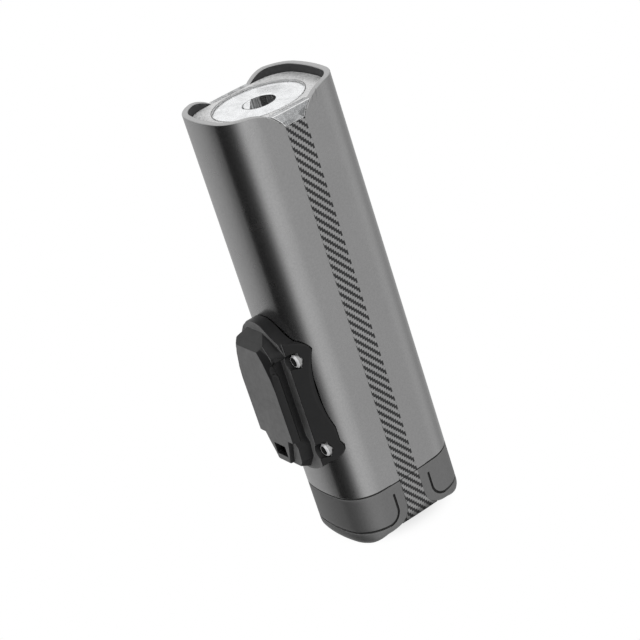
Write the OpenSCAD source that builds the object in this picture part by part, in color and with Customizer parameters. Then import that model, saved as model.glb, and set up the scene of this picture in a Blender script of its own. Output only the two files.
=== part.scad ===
// Bike headlight that holds one round cell, standing on its tail with the beam along +Z.
// The origin is the centre of the mount's contact face, -Y is that face's outward side,
// and +Y is the side with the power button. Lengths are millimetres.
// Inside place(), x runs across the body, y up in use, and z = -depth, where depth is
// counted from the front rim towards the tail.

/* [Cell and section] */
// Diameter of the battery cell in its sleeve
cell_d = 21.2; // [20.8:0.1:21.6]
// Length of the battery cell
cell_len = 70; // [66:0.5:74]
// Thickness of the shell's wall
wall_t = 1.4; // [1.2:0.1:1.6]
// Air between the cell and the wall at each side
side_gap = 1; // [0.8:0.1:1.4]
// Thickness of the cushion under the cell
cushion_t = 0.7; // [0.6:0.1:1]
// Air between the cell and the inner frame
cell_clear = 0.2; // [0.15:0.05:0.3]
// Thickness of the inner frame over the cell
deck_t = 0.7; // [0.6:0.1:1]
// Thickness of the main board
board_t = 1; // [0.8:0.1:1.2]
// Height of the room for components over the main board
room_h = 4.4; // [4.2:0.1:4.8]
// Radius of the section's corners
corner_r = 8; // [7.4:0.1:8.4]
// How far the side walls bulge over their corners
side_bulge = 0.2; // [0.1:0.05:0.3]
// How far the top and bottom walls bulge over their corners
end_bulge = 0.4; // [0.2:0.05:0.5]

/* [Front] */
// Depth of the lens face behind the rim
lens_depth = 2; // [1.6:0.1:2.4]
// Thickness of the lens
lens_t = 1.5; // [1.3:0.1:1.8]
// Half the height of the scoop in each side wall
scoop_half = 11; // [10.4:0.1:11.4]
// Depth of the scoops
scoop_depth = 5.2; // [4.8:0.1:5.6]
// Radius of the scoops' curved sides
scoop_r = 9.3; // [9:0.1:9.8]
// Half the distance between the outer faces of the side windows
window_x = 12.7; // [12.5:0.05:12.8]
// Thickness of each side window
window_t = 1.7; // [1.5:0.1:1.8]
// Thickness of the lens gasket
gasket_t = 0.4; // [0.3:0.1:0.6]
// Radius of the optic
optic_r = 10.5; // [10.2:0.05:10.6]
// Height of the optic
optic_h = 7.7; // [7.2:0.1:8.2]
// Thickness of the optic's flange
flange_t = 1.2; // [1:0.1:1.4]
// Radius of the dark well in the optic's middle
well_r = 3.8; // [3.4:0.1:4.2]
// Depth of that well
well_depth = 4; // [3.6:0.1:4.2]
// Radius of the hollow over the emitter
hollow_r = 2.9; // [2.6:0.1:3.2]
// Depth of that hollow
hollow_depth = 3; // [2.6:0.1:3]
// Width of the square emitter
emitter_w = 3.4; // [3:0.1:3.6]
// Thickness of the LED board
led_board_t = 1.5; // [1.2:0.1:1.8]
// Length of the heat sink
sink_len = 6.5; // [6:0.1:8]
// Distance of the front screws from the middle, across
front_screw_x = 6.5; // [6.3:0.05:6.7]
// Distance of the front screws from the middle, up and down
front_screw_y = 10.8; // [10.6:0.05:10.9]

/* [Tail] */
// Distance from the seam to the lobes' ends
cap_len = 13.1; // [12.6:0.1:14]
// Depth of the recess between the lobes
recess_depth = 2.8; // [2.5:0.1:3.2]
// Half the height of that recess
recess_half = 5; // [4.6:0.1:5.4]
// Thickness of the tail gasket
tail_gasket_t = 0.3; // [0.2:0.05:0.4]
// Length of the cap's spigot inside the shell
spigot_len = 2.5; // [2.2:0.1:2.6]
// Thickness of the spigot
spigot_t = 1.1; // [0.9:0.05:1.2]
// Radius of the lobes' flanks beside the recess
lobe_flank_r = 10; // [9:0.2:11]
// Radius of the lobes' outer edge, seen from the side
lobe_outer_r = 2.6; // [2.2:0.1:3]
// Radius of the lobes' edge, seen from above
lobe_side_r = 2.6; // [2.2:0.1:3]
// Thickness of the lobes' ends
lobe_wall = 2; // [1.8:0.1:2.4]
// Width of the groove round each lobe
groove_w = 0.5; // [0.4:0.05:0.6]
// Depth of that groove
groove_depth = 0.35; // [0.25:0.05:0.5]
// Distance of the groove's legs from the middle
groove_y = 5.1; // [4.9:0.05:5.4]
// Radius of the groove's corners
groove_r = 3.1; // [2.6:0.1:3.4]

/* [Side strips] */
// Width of each strip
strip_w = 5; // [4.6:0.1:5.4]
// Thickness of each strip
strip_t = 0.6; // [0.45:0.05:0.7]
// Length of the widening at the tail
flare_len = 3.8; // [3:0.1:4.6]

/* [Button] */
// Depth of the button's middle behind the rim
button_depth = 70; // [66:0.5:74]
// Length of the button
button_len = 15; // [14:0.1:16]
// Width of the button
button_w = 7.4; // [7:0.1:7.8]
// How far the button stands over the shell
button_proud = 0.3; // [0.1:0.05:0.4]
// Travel of the button
button_travel = 0.5; // [0.3:0.05:0.6]
// Thickness of the button's flange and of its seal
seal_t = 0.6; // [0.5:0.05:0.65]
// Distance between the button's seal and the light pipe
lights_gap = 0.1; // [0.1:0.1:3]
// Distance between charge lights
lights_pitch = 2.6; // [2.4:0.1:2.8]
// Radius of each light window
window_r = 0.6; // [0.5:0.05:0.7]

/* [Charging port] */
// Distance from the seam to the cover's hinge bead
hinge_from_seam = 1.95; // [1.9:0.05:2.1]
// Radius of the hinge bead
bead_r = 0.5; // [0.45:0.01:0.55]
// Distance from the hinge bead to the middle of the port
port_from_hinge = 3.5; // [3.4:0.05:3.6]
// Width of the port cover
cover_w = 12.8; // [12.2:0.1:13.2]
// Thickness of the port cover at its middle
cover_t = 1; // [0.9:0.05:1.1]
// Width of the socket's shell
socket_w = 8.94; // [8.8:0.02:9]
// Height of the socket's shell
socket_h = 3.2; // [3.1:0.02:3.26]
// Length of the socket
socket_len = 7.3; // [6.8:0.1:7.4]

/* [Mount] */
// Depth of the mount's middle behind the rim
mount_depth = 67.8; // [64:0.2:70]
// Thickness of the saddle under the body
saddle_t = 1.8; // [1.5:0.1:2.1]
// Height of the side grooves
rail_h = 2.9; // [2.7:0.1:3.1]
// Thickness of the plate beyond the grooves
plate_t = 1.8; // [1.6:0.1:2]
// Half the width of the core between the grooves
core_half = 5; // [4.6:0.1:5.2]
// Half the width of the plate's contact face
face_half = 6.8; // [6.5:0.1:7]
// Half the width of the plate at the grooves
plate_half = 7.7; // [7.5:0.1:8]
// Distance from the mount's middle to the block's front end
block_front = 18.4; // [18:0.1:18.8]
// Distance from the mount's middle to the block's tail end
block_rear = 17.2; // [16.8:0.1:17.8]
// Reach of the nose beyond the block's front end
nose_reach = 0.8; // [0.5:0.1:1]
// Drop of the saddle's thick nose under the saddle
nose_drop = 1.2; // [0.9:0.1:1.4]
// Distance from the mount's middle to the front end of the grooves
groove_front = 12.6; // [12.2:0.1:13]
// Distance from the mount's middle to the step where the tongue starts
tongue_start = 7.1; // [6.8:0.1:7.5]
// Length of the tongue
tongue_len = 6.7; // [6.4:0.1:7]
// Half the width of the tongue at the step
tongue_half = 4.7; // [4.5:0.1:5]
// Width of the latch hole
latch_w = 4.4; // [4:0.1:4.6]
// Length of the latch hole
latch_len = 2.8; // [2.4:0.1:3]
// Depth of the latch hole
latch_depth = 2.4; // [2:0.1:2.6]
// Radius of the saddle's bumps round the screws
bump_r = 3; // [2.8:0.1:3.2]
// Half the width of the saddle's waist
waist_half = 9.7; // [9.4:0.1:10]
// Radius of that waist
waist_r = 40; // [36:1:44]
// Distance between the mount screws, across
screw_span_x = 17.2; // [17:0.1:17.4]
// Distance between the mount screws, along
screw_span_z = 23; // [22.6:0.1:23.4]
// Radius of the mount screws' heads
mount_head_r = 1.6; // [1.5:0.05:1.7]
// Height of the mount screws' heads
mount_head_h = 1.15; // [1:0.05:1.3]

/* [Boards and fits] */
// Half the width of the main board
board_half = 9; // [8.6:0.1:9.2]
// Width of the inductor
inductor_w = 7; // [6:0.1:7.4]
// Height of the inductor
inductor_h = 2.8; // [2.4:0.1:3]
// Width of the largest chip
chip_w = 4; // [3:0.1:4.4]
// Height of the chips
chip_h = 0.9; // [0.7:0.1:1.1]
// Radius of the small screws' heads
small_head_r = 1.4; // [1.3:0.05:1.5]
// Height of the small screws' heads
small_head_h = 1; // [0.8:0.1:1.1]
// Width of the charging board
usb_board_w = 14.8; // [14.4:0.1:15]
// Radius of the small screws' shanks
shank_r = 0.8; // [0.7:0.05:0.9]
// Radius of the mount and front screws' shanks
big_shank_r = 1; // [0.9:0.05:1.05]
// Clearance round a moving or loose piece
loose = 0.3; // [0.25:0.01:0.35]
// Clearance between pieces that stay together
fit_gap = 0.1; // [0.06:0.01:0.12]
// Clearance round a shank or a plunger
run_gap = 0.05; // [0.03:0.01:0.07]

/* [Hidden] */
$fn = 180;

// How far a cutter runs past the face that it opens
over = 1;
// How far an edge's arc runs past the face that it meets
run_out = 0.03;

// Section: the cell, its gaps and the wall give the width, and the stack over the cell the height
cell_r = cell_d / 2;
body_w = cell_d + 2 * (side_gap + wall_t);
body_h = cell_d + 2 * wall_t + cushion_t + cell_clear + deck_t + board_t + room_h;
corner_x = body_w / 2 - corner_r - side_bulge;
corner_y = body_h / 2 - corner_r - end_bulge;
cell_y = -body_h / 2 + wall_t + cushion_t + cell_r;
deck_y = cell_y + cell_r + cell_clear + deck_t;
board_y = deck_y + board_t;
ceiling_y = body_h / 2 - wall_t;

// Depths from the front rim to the seam
gasket_d = lens_depth + lens_t;
optic_d = gasket_d + gasket_t;
led_board_d = optic_d + optic_h;
sink_d = led_board_d + led_board_t;
sink_end = sink_d + sink_len;
pad_t = 0.6;
contact_t = 0.2;
cell_d0 = sink_end + pad_t + contact_t;
cell_d1 = cell_d0 + cell_len;
bulkhead_d = cell_d1 + contact_t + pad_t;
bulkhead_t = 1.5;
seam_front = bulkhead_d + contact_t + spigot_len - run_gap - fit_gap;
seam_rear = seam_front + tail_gasket_t;
spigot_d = seam_front - spigot_len + fit_gap;
body_len = seam_rear - tail_gasket_t / 2 + cap_len;
recess_d = body_len - recess_depth;
lobe_flank = sqrt(2 * lobe_flank_r * recess_depth - recess_depth * recess_depth);
bezel_inset = wall_t + 0.2;

// Seat of the heat sink inside the shell
rib_len = 0.8;
rib_h = 0.6;
frame_inset = wall_t + rib_h + fit_gap;

// Strips
strip_floor = body_w / 2 - strip_t;

// Cap
cap_liner_end = seam_rear + 1.45;
liner_inset = wall_t + fit_gap + spigot_t;
cavity_end = recess_d - wall_t;
flat_head_r = 1.15;
cap_screw_d = seam_front - flat_head_r - fit_gap;
cap_screw_pad = 2.2;
groove_end = body_len - 3.9;

// Button and switch
key_y = ceiling_y - seal_t;
switch_y = key_y - seal_t - button_travel - 0.4;
switch_w = 5.2;
plunger_r = 1;
flange_grow = 2;
seal_len = button_len + 2 * flange_grow - 0.4;
pipe_len = 4 * lights_pitch + 0.8;
lights_depth = button_depth - seal_len / 2 - lights_gap - pipe_len / 2;

// Charging port
hinge_d = seam_rear + hinge_from_seam;
hinge_y = body_h / 2 - 0.8;
cover_d0 = hinge_d + 0.9;
cover_d1 = hinge_d + 6.4;
neck_half = 3.4;
port_d = hinge_d + port_from_hinge;
pocket_y = body_h / 2 - cover_t;
port_pad_t = 1.4;
port_y = pocket_y - port_pad_t;
plug_h = 0.8;
port_grow = 0.25;
usb_board_t = 1;
usb_board_d = port_d - socket_h / 2 - usb_board_t;
usb_screw_x = 5;
usb_screw_y = -5.5;

// Mount
saddle_y = -body_h / 2 - saddle_t;
plate_y = saddle_y - rail_h;
face_y = plate_y - plate_t;
screw_x = screw_span_x / 2;
head_seat_y = face_y + 6.95;
boss_r = 1.8;
boss_y = -surface_y(screw_x, wall_t) + 1.2;

// Height of the section's surface at x, which lies in the corner's stretch
function surface_y(x, inset) = corner_y + sqrt(pow(corner_r - inset, 2) - pow(x - corner_x, 2));

// Points of an outline that is the same on both sides, from the points of its +x half
function both_sides(half) =
    concat(half, [for (i = [len(half) - 1:-1:0]) [-half[i][0], half[i][1]]]);

// Puts a piece into the part's frame
module place() {
    translate([0, -face_y, mount_depth]) children();
}

// Extrudes a section, drawn in x and y, between two depths
module slab(d0, d1) {
    translate([0, 0, -d1]) linear_extrude(d1 - d0) children();
}

// Extrudes a side view, drawn in y and depth, between two x values
module across(x0, x1) {
    rotate([-90, 0, 90]) translate([0, 0, -x1]) linear_extrude(x1 - x0) children();
}

// Extrudes a plan, drawn in x and depth, between two y values
module upward(y0, y1) {
    rotate([-90, 0, 0]) translate([0, 0, y0]) linear_extrude(y1 - y0) children();
}

// A bar along x whose ends are shallow arcs that run into the corners' circles without a kink
module barrel(reach, half, bulge, round_r) {
    core_r = (half * half + bulge * bulge) / (2 * bulge);
    arc_r = core_r + round_r;
    intersection() {
        square([2 * reach, 2 * half * arc_r / core_r], center = true);
        translate([reach - arc_r, 0]) circle(arc_r, $fn = 720);
        translate([arc_r - reach, 0]) circle(arc_r, $fn = 720);
    }
}

// The body's section, drawn in by inset
module profile(inset = 0) {
    barrel(body_w / 2 - inset, corner_y, side_bulge, corner_r - inset);
    rotate(90) barrel(body_h / 2 - inset, corner_x, end_bulge, corner_r - inset);
    for (sx = [-1, 1], sy = [-1, 1])
        translate([sx * corner_x, sy * corner_y]) circle(corner_r - inset);
}

module ring(outer, inner) {
    difference() {
        profile(outer);
        profile(inner);
    }
}

// A slot with round ends, long along depth
module pill(length, width) {
    square([width, length - width], center = true);
    for (s = [-1, 1]) translate([0, s * (length - width) / 2]) circle(width / 2);
}

// A rectangle with round corners
module rounded(w, h, r) {
    square([w - 2 * r, h], center = true);
    square([w, h - 2 * r], center = true);
    for (sx = [-1, 1], sy = [-1, 1]) translate([sx * (w / 2 - r), sy * (h / 2 - r)]) circle(r);
}

module box_between(x0, x1, y0, y1) {
    translate([x0, y0]) square([x1 - x0, y1 - y0]);
}

// Side view of the scoop, with its outline drawn in by gap
module scoop(gap = 0) {
    difference() {
        box_between(-scoop_half, scoop_half, -over, scoop_depth - gap);
        for (s = [-1, 1])
            translate([s * scoop_half, scoop_r - 2 * run_out]) circle(scoop_r + gap);
    }
}

// Room behind each side window, in side view
module window_room() {
    box_between(-scoop_half / 2 + fit_gap, scoop_half / 2 - fit_gap, 0, scoop_depth + fit_gap);
}

// Side view of a strip, widened by gap
module strip_outline(gap = 0) {
    half = strip_w / 2 + gap;
    open_end = gap > 0 ? [[recess_half + gap, recess_d + over]] : [];
    polygon(both_sides(concat([
        [half, scoop_depth + fit_gap - gap],
        [half, recess_d - flare_len],
        [half + 0.3, recess_d - 0.6 * flare_len],
        [half + 1, recess_d - 0.3 * flare_len],
        [recess_half + gap, recess_d],
    ], open_end)));
}

module strip_pocket(side) {
    mirror([side < 0 ? 1 : 0, 0, 0]) across(strip_floor, body_w) strip_outline(fit_gap);
}

module side_strip(side) {
    color("dimgray") place() mirror([side < 0 ? 1 : 0, 0, 0]) intersection() {
        across(strip_floor, body_w) strip_outline();
        slab(0, body_len) profile();
    }
}

module side_strip_right() { side_strip(1); }
module side_strip_left() { side_strip(-1); }

// Calls its children at each place of a mount screw, in plan
module mount_screw_places() {
    for (sx = [-1, 1], sz = [-1, 1])
        translate([sx * screw_x, mount_depth + sz * screw_span_z / 2]) children();
}

module cap_screw_shape(grow) {
    for (side = [0, 1]) mirror([side, 0, 0]) {
        across(body_w / 2 - strip_t - wall_t - 1.6, strip_floor - 0.5)
            translate([0, cap_screw_d]) circle(shank_r + grow);
        translate([strip_floor - 0.6, 0, -cap_screw_d]) rotate([0, 90, 0])
            cylinder(h = 0.6 - (grow > 0 ? 0 : 0.03), r1 = shank_r + grow, r2 = flat_head_r + grow);
    }
}

module body_shell() {
    color([0.42, 0.43, 0.44]) place() difference() {
        union() {
            difference() {
                slab(0, seam_front) profile();
                slab(-over, sink_end) profile(wall_t);
                slab(sink_end - over, seam_front + over) profile(wall_t + rib_h);
                slab(sink_end + rib_len, seam_front + over) profile(wall_t);
            }
            intersection() {
                upward(-body_h / 2, boss_y) mount_screw_places() circle(boss_r);
                slab(0, seam_front) profile(wall_t / 2);
            }
        }
        across(-body_w, body_w) scoop();
        for (side = [-1, 1]) strip_pocket(side);
        upward(0, body_h) translate([0, button_depth]) pill(button_len + 2 * loose, button_w + 2 * loose);
        upward(0, ceiling_y) translate([0, button_depth])
            pill(button_len + 2 * flange_grow, button_w + 2 * flange_grow - 0.6);
        upward(0, body_h) light_places() circle(window_r + run_gap);
        upward(-body_h, -cell_r) mount_screw_places() circle(big_shank_r + run_gap);
        cap_screw_shape(run_gap);
    }
}

// Side view of the cap's outside: the recess and the rounded ends of its two lobes
module cap_side_view() {
    inner_y = recess_half + lobe_flank;
    outer_y = body_h / 2 - lobe_outer_r;
    difference() {
        box_between(-body_h, body_h, seam_rear - over, body_len);
        box_between(-recess_half - run_out, recess_half + run_out, recess_d, body_len + over);
        for (s = [0, 1]) mirror([s, 0]) {
            difference() {
                box_between(recess_half, inner_y, recess_d, body_len + over);
                translate([inner_y, body_len - lobe_flank_r]) circle(lobe_flank_r);
            }
            difference() {
                box_between(outer_y, body_h, body_len - lobe_outer_r, body_len + over);
                translate([outer_y + run_out, body_len - lobe_outer_r + run_out]) circle(lobe_outer_r);
            }
        }
    }
}

// Plan of the cap's outside, with its rounded ends
module cap_plan_view() {
    edge_x = body_w / 2 - lobe_side_r;
    difference() {
        box_between(-body_w, body_w, seam_rear - over, body_len + over);
        for (s = [0, 1]) mirror([s, 0]) difference() {
            box_between(edge_x, body_w, body_len - lobe_side_r, body_len + 2 * over);
            translate([edge_x + run_out, body_len - lobe_side_r + run_out]) circle(lobe_side_r);
        }
    }
}

// Side view of the groove round the upper lobe
module groove_line() {
    half = groove_w / 2;
    corner_y = groove_y + groove_r;
    corner_d = groove_end - groove_r;
    top_d = seam_rear + 2.4;
    box_between(groove_y - half, groove_y + half, top_d, corner_d);
    translate([groove_y, top_d]) circle(half);
    intersection() {
        translate([corner_y, corner_d]) difference() {
            circle(groove_r + half);
            circle(groove_r - half);
        }
        box_between(groove_y - half, corner_y, corner_d, groove_end + half);
    }
    box_between(corner_y, body_h, groove_end - half, groove_end + half);
}

module port_cover_pocket() {
    upward(pocket_y, body_h) translate([0, (cover_d0 + cover_d1) / 2])
        rounded(cover_w + 2 * fit_gap, cover_d1 - cover_d0 + 2 * fit_gap, 1.2);
    across(-neck_half - fit_gap, neck_half + fit_gap) {
        translate([hinge_y, hinge_d]) circle(bead_r + run_gap);
        box_between(hinge_y - bead_r - run_gap, body_h, hinge_d, cover_d0 + over);
    }
    across(-cover_w / 2 - fit_gap, cover_w / 2 + fit_gap)
        polygon([[pocket_y, cover_d0 + over], [body_h / 2 + over, cover_d0 + over],
            [body_h / 2 + over, hinge_d - 2.2], [body_h / 2 - 1.1, hinge_d - 0.3],
            [pocket_y, hinge_d]]);
}

module tail_cap() {
    color([0.34, 0.35, 0.36]) place() difference() {
        union() {
            difference() {
                intersection() {
                    slab(seam_rear, body_len) profile();
                    across(-body_w, body_w) cap_side_view();
                    upward(-body_h, body_h) cap_plan_view();
                }
                slab(seam_rear - over, cap_liner_end) profile(liner_inset);
                slab(cap_liner_end, cavity_end) profile(wall_t);
                for (s = [-1, 1]) slab(cavity_end - over, body_len - lobe_wall) intersection() {
                    profile(2.6);
                    translate([0, s * (recess_half + body_h / 2 + lobe_flank / 2)])
                        square([body_w, body_h], center = true);
                }
            }
            slab(spigot_d, seam_rear + over / 2) ring(wall_t + fit_gap, liner_inset);
            slab(spigot_d, seam_rear + over / 2) for (s = [-1, 1])
                translate([s * (body_w / 2 - liner_inset - cap_screw_pad / 2 + 0.3), 0])
                    square([cap_screw_pad, 5], center = true);
            upward(port_y, ceiling_y + 0.4) translate([0, port_d])
                square([socket_w + 6, socket_h + 2.4], center = true);
        }
        for (side = [-1, 1]) strip_pocket(side);
        cap_screw_shape(run_gap);
        difference() {
            across(-body_w, body_w) for (s = [0, 1]) mirror([s, 0]) groove_line();
            slab(seam_rear - over, body_len + over) profile(groove_depth);
        }
        upward(0, pocket_y + over) translate([0, port_d])
            rounded(socket_w + 2 * port_grow, socket_h + 2 * port_grow, 1.6);
        port_cover_pocket();
    }
}

module front_lens() {
    color([0.86, 0.9, 0.93, 0.5]) place() {
        slab(lens_depth, gasket_d) profile(wall_t + fit_gap);
        intersection() {
            union() {
                across(window_x - window_t, window_x) scoop(fit_gap);
                across(-window_x, window_t - window_x) scoop(fit_gap);
            }
            slab(lens_depth, body_h) square([2 * body_w, body_h], center = true);
        }
    }
}

module lens_gasket() {
    color([0.1, 0.1, 0.1]) place() difference() {
        slab(gasket_d, optic_d) ring(bezel_inset, wall_t + 1.6);
        window_pockets();
    }
}

module window_pockets() {
    across(window_x - window_t - fit_gap, body_w) window_room();
    across(-body_w, window_t + fit_gap - window_x) window_room();
}

// Turned shape about the optic's axis, drawn as radius and depth
module turned(d0) {
    translate([0, 0, -d0]) rotate([180, 0, 0]) rotate_extrude() children();
}

module optic() {
    steps = 6;
    foot_r = 4;
    flange_end = flange_t;
    cone_h = optic_h - flange_t;
    color([0.9, 0.92, 0.95, 0.6]) place() turned(optic_d) difference() {
        polygon(concat([[0, 0], [optic_r, 0], [optic_r, flange_end]],
            [for (i = [steps:-1:0]) [foot_r + (optic_r - 0.8 - foot_r) * sqrt(i / steps),
                flange_end + cone_h * (1 - i / steps)]], [[0, optic_h]]));
        box_between(-over, well_r, -over, well_depth);
        box_between(-over, hollow_r, optic_h - hollow_depth, optic_h + over);
    }
}

module front_screw_places() {
    for (sx = [-1, 1], sy = [-1, 1]) translate([sx * front_screw_x, sy * front_screw_y]) children();
}

module optic_holder() {
    floor_t = 0.6;
    color([0.72, 0.73, 0.74]) place() difference() {
        slab(optic_d, led_board_d) profile(bezel_inset);
        slab(optic_d - over, optic_d + flange_t) circle(optic_r + fit_gap);
        slab(optic_d, led_board_d - floor_t) circle(optic_r - 0.6);
        slab(optic_d, led_board_d + over) circle(6.2);
        window_pockets();
        slab(optic_d - over, optic_d + 1.6) front_screw_places() circle(1.6 + fit_gap);
        slab(optic_d, led_board_d + over) front_screw_places() circle(big_shank_r + fit_gap);
    }
}

module led_emitter() {
    base_t = 0.6;
    color([0.95, 0.85, 0.3]) place() {
        slab(led_board_d - base_t, led_board_d) square(emitter_w, center = true);
        intersection() {
            translate([0, 0, base_t - led_board_d]) sphere(emitter_w / 2 - 0.2);
            slab(led_board_d - emitter_w, led_board_d - base_t / 2) square(emitter_w, center = true);
        }
    }
}

wire_r = 0.6;
wire_x = 3.3;
wire_y = board_y + wire_r;
wire_end = sink_end + 7.4;

module wire_places() {
    for (s = [-1, 1]) translate([s * wire_x, wire_y]) children();
}

module led_board() {
    color([0.92, 0.93, 0.9]) place() slab(led_board_d, sink_d) difference() {
        profile(wall_t + 1);
        front_screw_places() circle(big_shank_r + fit_gap);
        wire_places() circle(wire_r + run_gap);
    }
}

module heat_sink() {
    color([0.7, 0.71, 0.72]) place() difference() {
        slab(sink_d, sink_end) profile(wall_t + run_gap);
        slab(sink_d - over, sink_end + over) translate([0, wire_y])
            square([2 * wire_x + 2.4, 2 * wire_r + 0.6], center = true);
        slab(sink_d - over, sink_d + 5) front_screw_places() circle(big_shank_r + run_gap);
        slab(sink_end - 2, sink_end + over) translate([0, cell_y]) circle(4);
    }
}

module front_screws() {
    head_h = 1.4;
    color("silver") place() {
        slab(optic_d + 1.6 - head_h, optic_d + 1.6) front_screw_places() circle(1.6);
        slab(optic_d + 1.6 - head_h / 2, sink_d + 4.6) front_screw_places() circle(big_shank_r);
    }
}

module led_wires() {
    color([0.75, 0.1, 0.1]) place() slab(led_board_d, wire_end) wire_places() circle(wire_r);
}

module battery_cell() {
    nub_h = 0.5;
    color([0.15, 0.45, 0.6]) place() translate([0, cell_y, 0]) {
        slab(cell_d0 + nub_h, cell_d1) circle(cell_r);
        slab(cell_d0, cell_d0 + 2 * nub_h) circle(4);
    }
}

contact_half = 2.5;

// Contact tab: a strip up the cell's end and a foot that lies on the main board
module contact(end_d0, foot_d0, foot_d1) {
    color([0.8, 0.78, 0.7]) place() {
        slab(end_d0, end_d0 + contact_t)
            box_between(-contact_half, contact_half, cell_y - 3, board_y + contact_t);
        slab(foot_d0, foot_d1) box_between(-contact_half, contact_half, board_y, board_y + contact_t);
    }
}

board_d0 = sink_end + 4.4;
board_d1 = cell_d1 - 2.4;

module front_contact() {
    contact(cell_d0 - contact_t, cell_d0 - contact_t, board_d0 + 2);
}

module rear_contact() {
    contact(cell_d1, board_d1 - 2, cell_d1 + contact_t);
}

module front_cell_pad() {
    color([0.2, 0.2, 0.2]) place() translate([0, cell_y, 0])
        slab(sink_end, sink_end + pad_t) circle(cell_r - 0.6);
}

module rear_cell_pad() {
    color([0.2, 0.2, 0.2]) place() translate([0, cell_y, 0])
        slab(bulkhead_d - pad_t, bulkhead_d) circle(cell_r - 0.6);
}

module cell_cushion() {
    cushion_half = 0.47 * cell_r;
    color([0.25, 0.25, 0.27]) place() slab(cell_d0 + 6, cell_d1 - 4) difference() {
        intersection() {
            profile(wall_t + run_gap);
            box_between(-cushion_half, cushion_half, -body_h / 2, cell_y - cell_r / 2);
        }
        translate([0, cell_y]) circle(cell_r + run_gap);
    }
}

board_screw_x = board_half - 1.4;
board_screw_d = [board_d0 + 3, board_d1 - 4];

module board_screw_places() {
    for (sx = [-1, 1], d = board_screw_d) translate([sx * board_screw_x, d]) children();
}

module usb_post_places() {
    for (sx = [-1, 1], y = [usb_screw_y, usb_screw_y + 8]) translate([sx * usb_screw_x, y]) children();
}

module inner_frame() {
    foot_y = cell_y + 5.8;
    bulkhead_end = bulkhead_d + bulkhead_t;
    bulkhead_inset = liner_inset + loose;
    color([0.16, 0.16, 0.17]) place() difference() {
        union() {
            difference() {
                slab(sink_end, spigot_d) intersection() {
                    profile(frame_inset);
                    box_between(-body_w, body_w, foot_y, deck_y);
                }
                slab(sink_end - over, bulkhead_d) translate([0, cell_y]) circle(cell_r + cell_clear);
            }
            slab(bulkhead_d, bulkhead_end) difference() {
                intersection() {
                    profile(bulkhead_inset);
                    box_between(-body_w, body_w, -body_h, deck_y);
                }
                for (s = [-1, 1]) translate([s * (body_w / 2 - liner_inset), 0])
                    square([2 * cap_screw_pad, 5.6], center = true);
            }
            slab(bulkhead_end - over, usb_board_d) usb_post_places() circle(1.7);
        }
        for (d = [sink_end, cell_d1 - 0.3]) slab(d - 0.3, d + 1.4)
            box_between(-contact_half - loose, contact_half + loose, foot_y, body_h);
        upward(deck_y - 3.1, body_h) board_screw_places() circle(shank_r + run_gap);
        slab(bulkhead_end, body_len) for (sx = [-1, 1])
            translate([sx * usb_screw_x, usb_screw_y]) circle(shank_r + run_gap);
    }
}

module main_board() {
    color([0.05, 0.3, 0.16]) place() difference() {
        upward(deck_y, board_y) box_between(-board_half, board_half, board_d0, board_d1);
        upward(deck_y - over, body_h) board_screw_places() circle(shank_r + fit_gap);
    }
}

module board_screws() {
    color("silver") place() {
        upward(deck_y - 3, board_y + 0.5) board_screw_places() circle(shank_r);
        upward(board_y, board_y + small_head_h) board_screw_places() circle(small_head_r);
    }
}

module power_inductor() {
    color([0.25, 0.25, 0.27]) place() upward(board_y, board_y + inductor_h)
        translate([0, board_d0 + 5.5 + inductor_w / 2]) rounded(inductor_w, inductor_w, 1.2);
}

module control_chips() {
    first_d = board_d0 + inductor_w + 9.5;
    color([0.1, 0.1, 0.11]) place() upward(board_y, board_y + chip_h) {
        translate([-0.85 * chip_w, first_d + chip_w / 2]) square([chip_w, 1.25 * chip_w], center = true);
        translate([0.9 * chip_w, first_d + chip_w / 2]) square(0.75 * chip_w, center = true);
        translate([switch_w / 2 + 0.2 + chip_w / 2, board_d1 - 7 - chip_w / 2]) square(chip_w, center = true);
    }
}

// Calls its children at each charge light, in plan
module light_places() {
    for (i = [-1.5:1:1.5]) translate([0, lights_depth + i * lights_pitch]) children();
}

module level_lights() {
    color([0.9, 0.9, 0.8]) place() upward(board_y, board_y + 0.6)
        light_places() square([1.6, 0.9], center = true);
}

module light_pipe() {
    bar_y = ceiling_y - fit_gap;
    color([0.85, 0.87, 0.88]) place() {
        upward(bar_y - 0.9, bar_y) translate([0, lights_depth]) pill(pipe_len, 2.4);
        intersection() {
            upward(bar_y - 0.5, body_h) light_places() circle(window_r);
            slab(0, seam_front) profile();
        }
    }
}

module tact_switch() {
    color([0.75, 0.75, 0.76]) place() difference() {
        upward(board_y, switch_y) translate([0, button_depth]) square(switch_w, center = true);
        upward(board_y + 0.1, body_h) translate([0, button_depth]) circle(plunger_r + run_gap);
    }
}

module switch_plunger() {
    color([0.9, 0.9, 0.9]) place() upward(board_y + 0.2 + button_travel, key_y - seal_t)
        translate([0, button_depth]) circle(plunger_r);
}

module power_button() {
    color([0.12, 0.12, 0.13]) place() {
        intersection() {
            upward(key_y - seal_t / 2, body_h) translate([0, button_depth]) pill(button_len, button_w);
            slab(0, seam_front) profile(-button_proud);
        }
        upward(key_y - seal_t, key_y) translate([0, button_depth])
            pill(button_len + flange_grow, button_w + flange_grow);
    }
}

module button_seal() {
    color([0.08, 0.08, 0.08]) place() upward(key_y, ceiling_y) translate([0, button_depth]) difference() {
        pill(seal_len, button_w + 2 * flange_grow - 1);
        pill(button_len + 2 * loose, button_w + 2 * loose);
    }
}

module usb_board() {
    color([0.05, 0.3, 0.16]) place() slab(usb_board_d, usb_board_d + usb_board_t) difference() {
        box_between(-usb_board_w / 2, usb_board_w / 2, usb_screw_y - 2.4, port_y - 1.6);
        for (sx = [-1, 1]) translate([sx * usb_screw_x, usb_screw_y]) circle(shank_r + fit_gap);
    }
}

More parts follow.
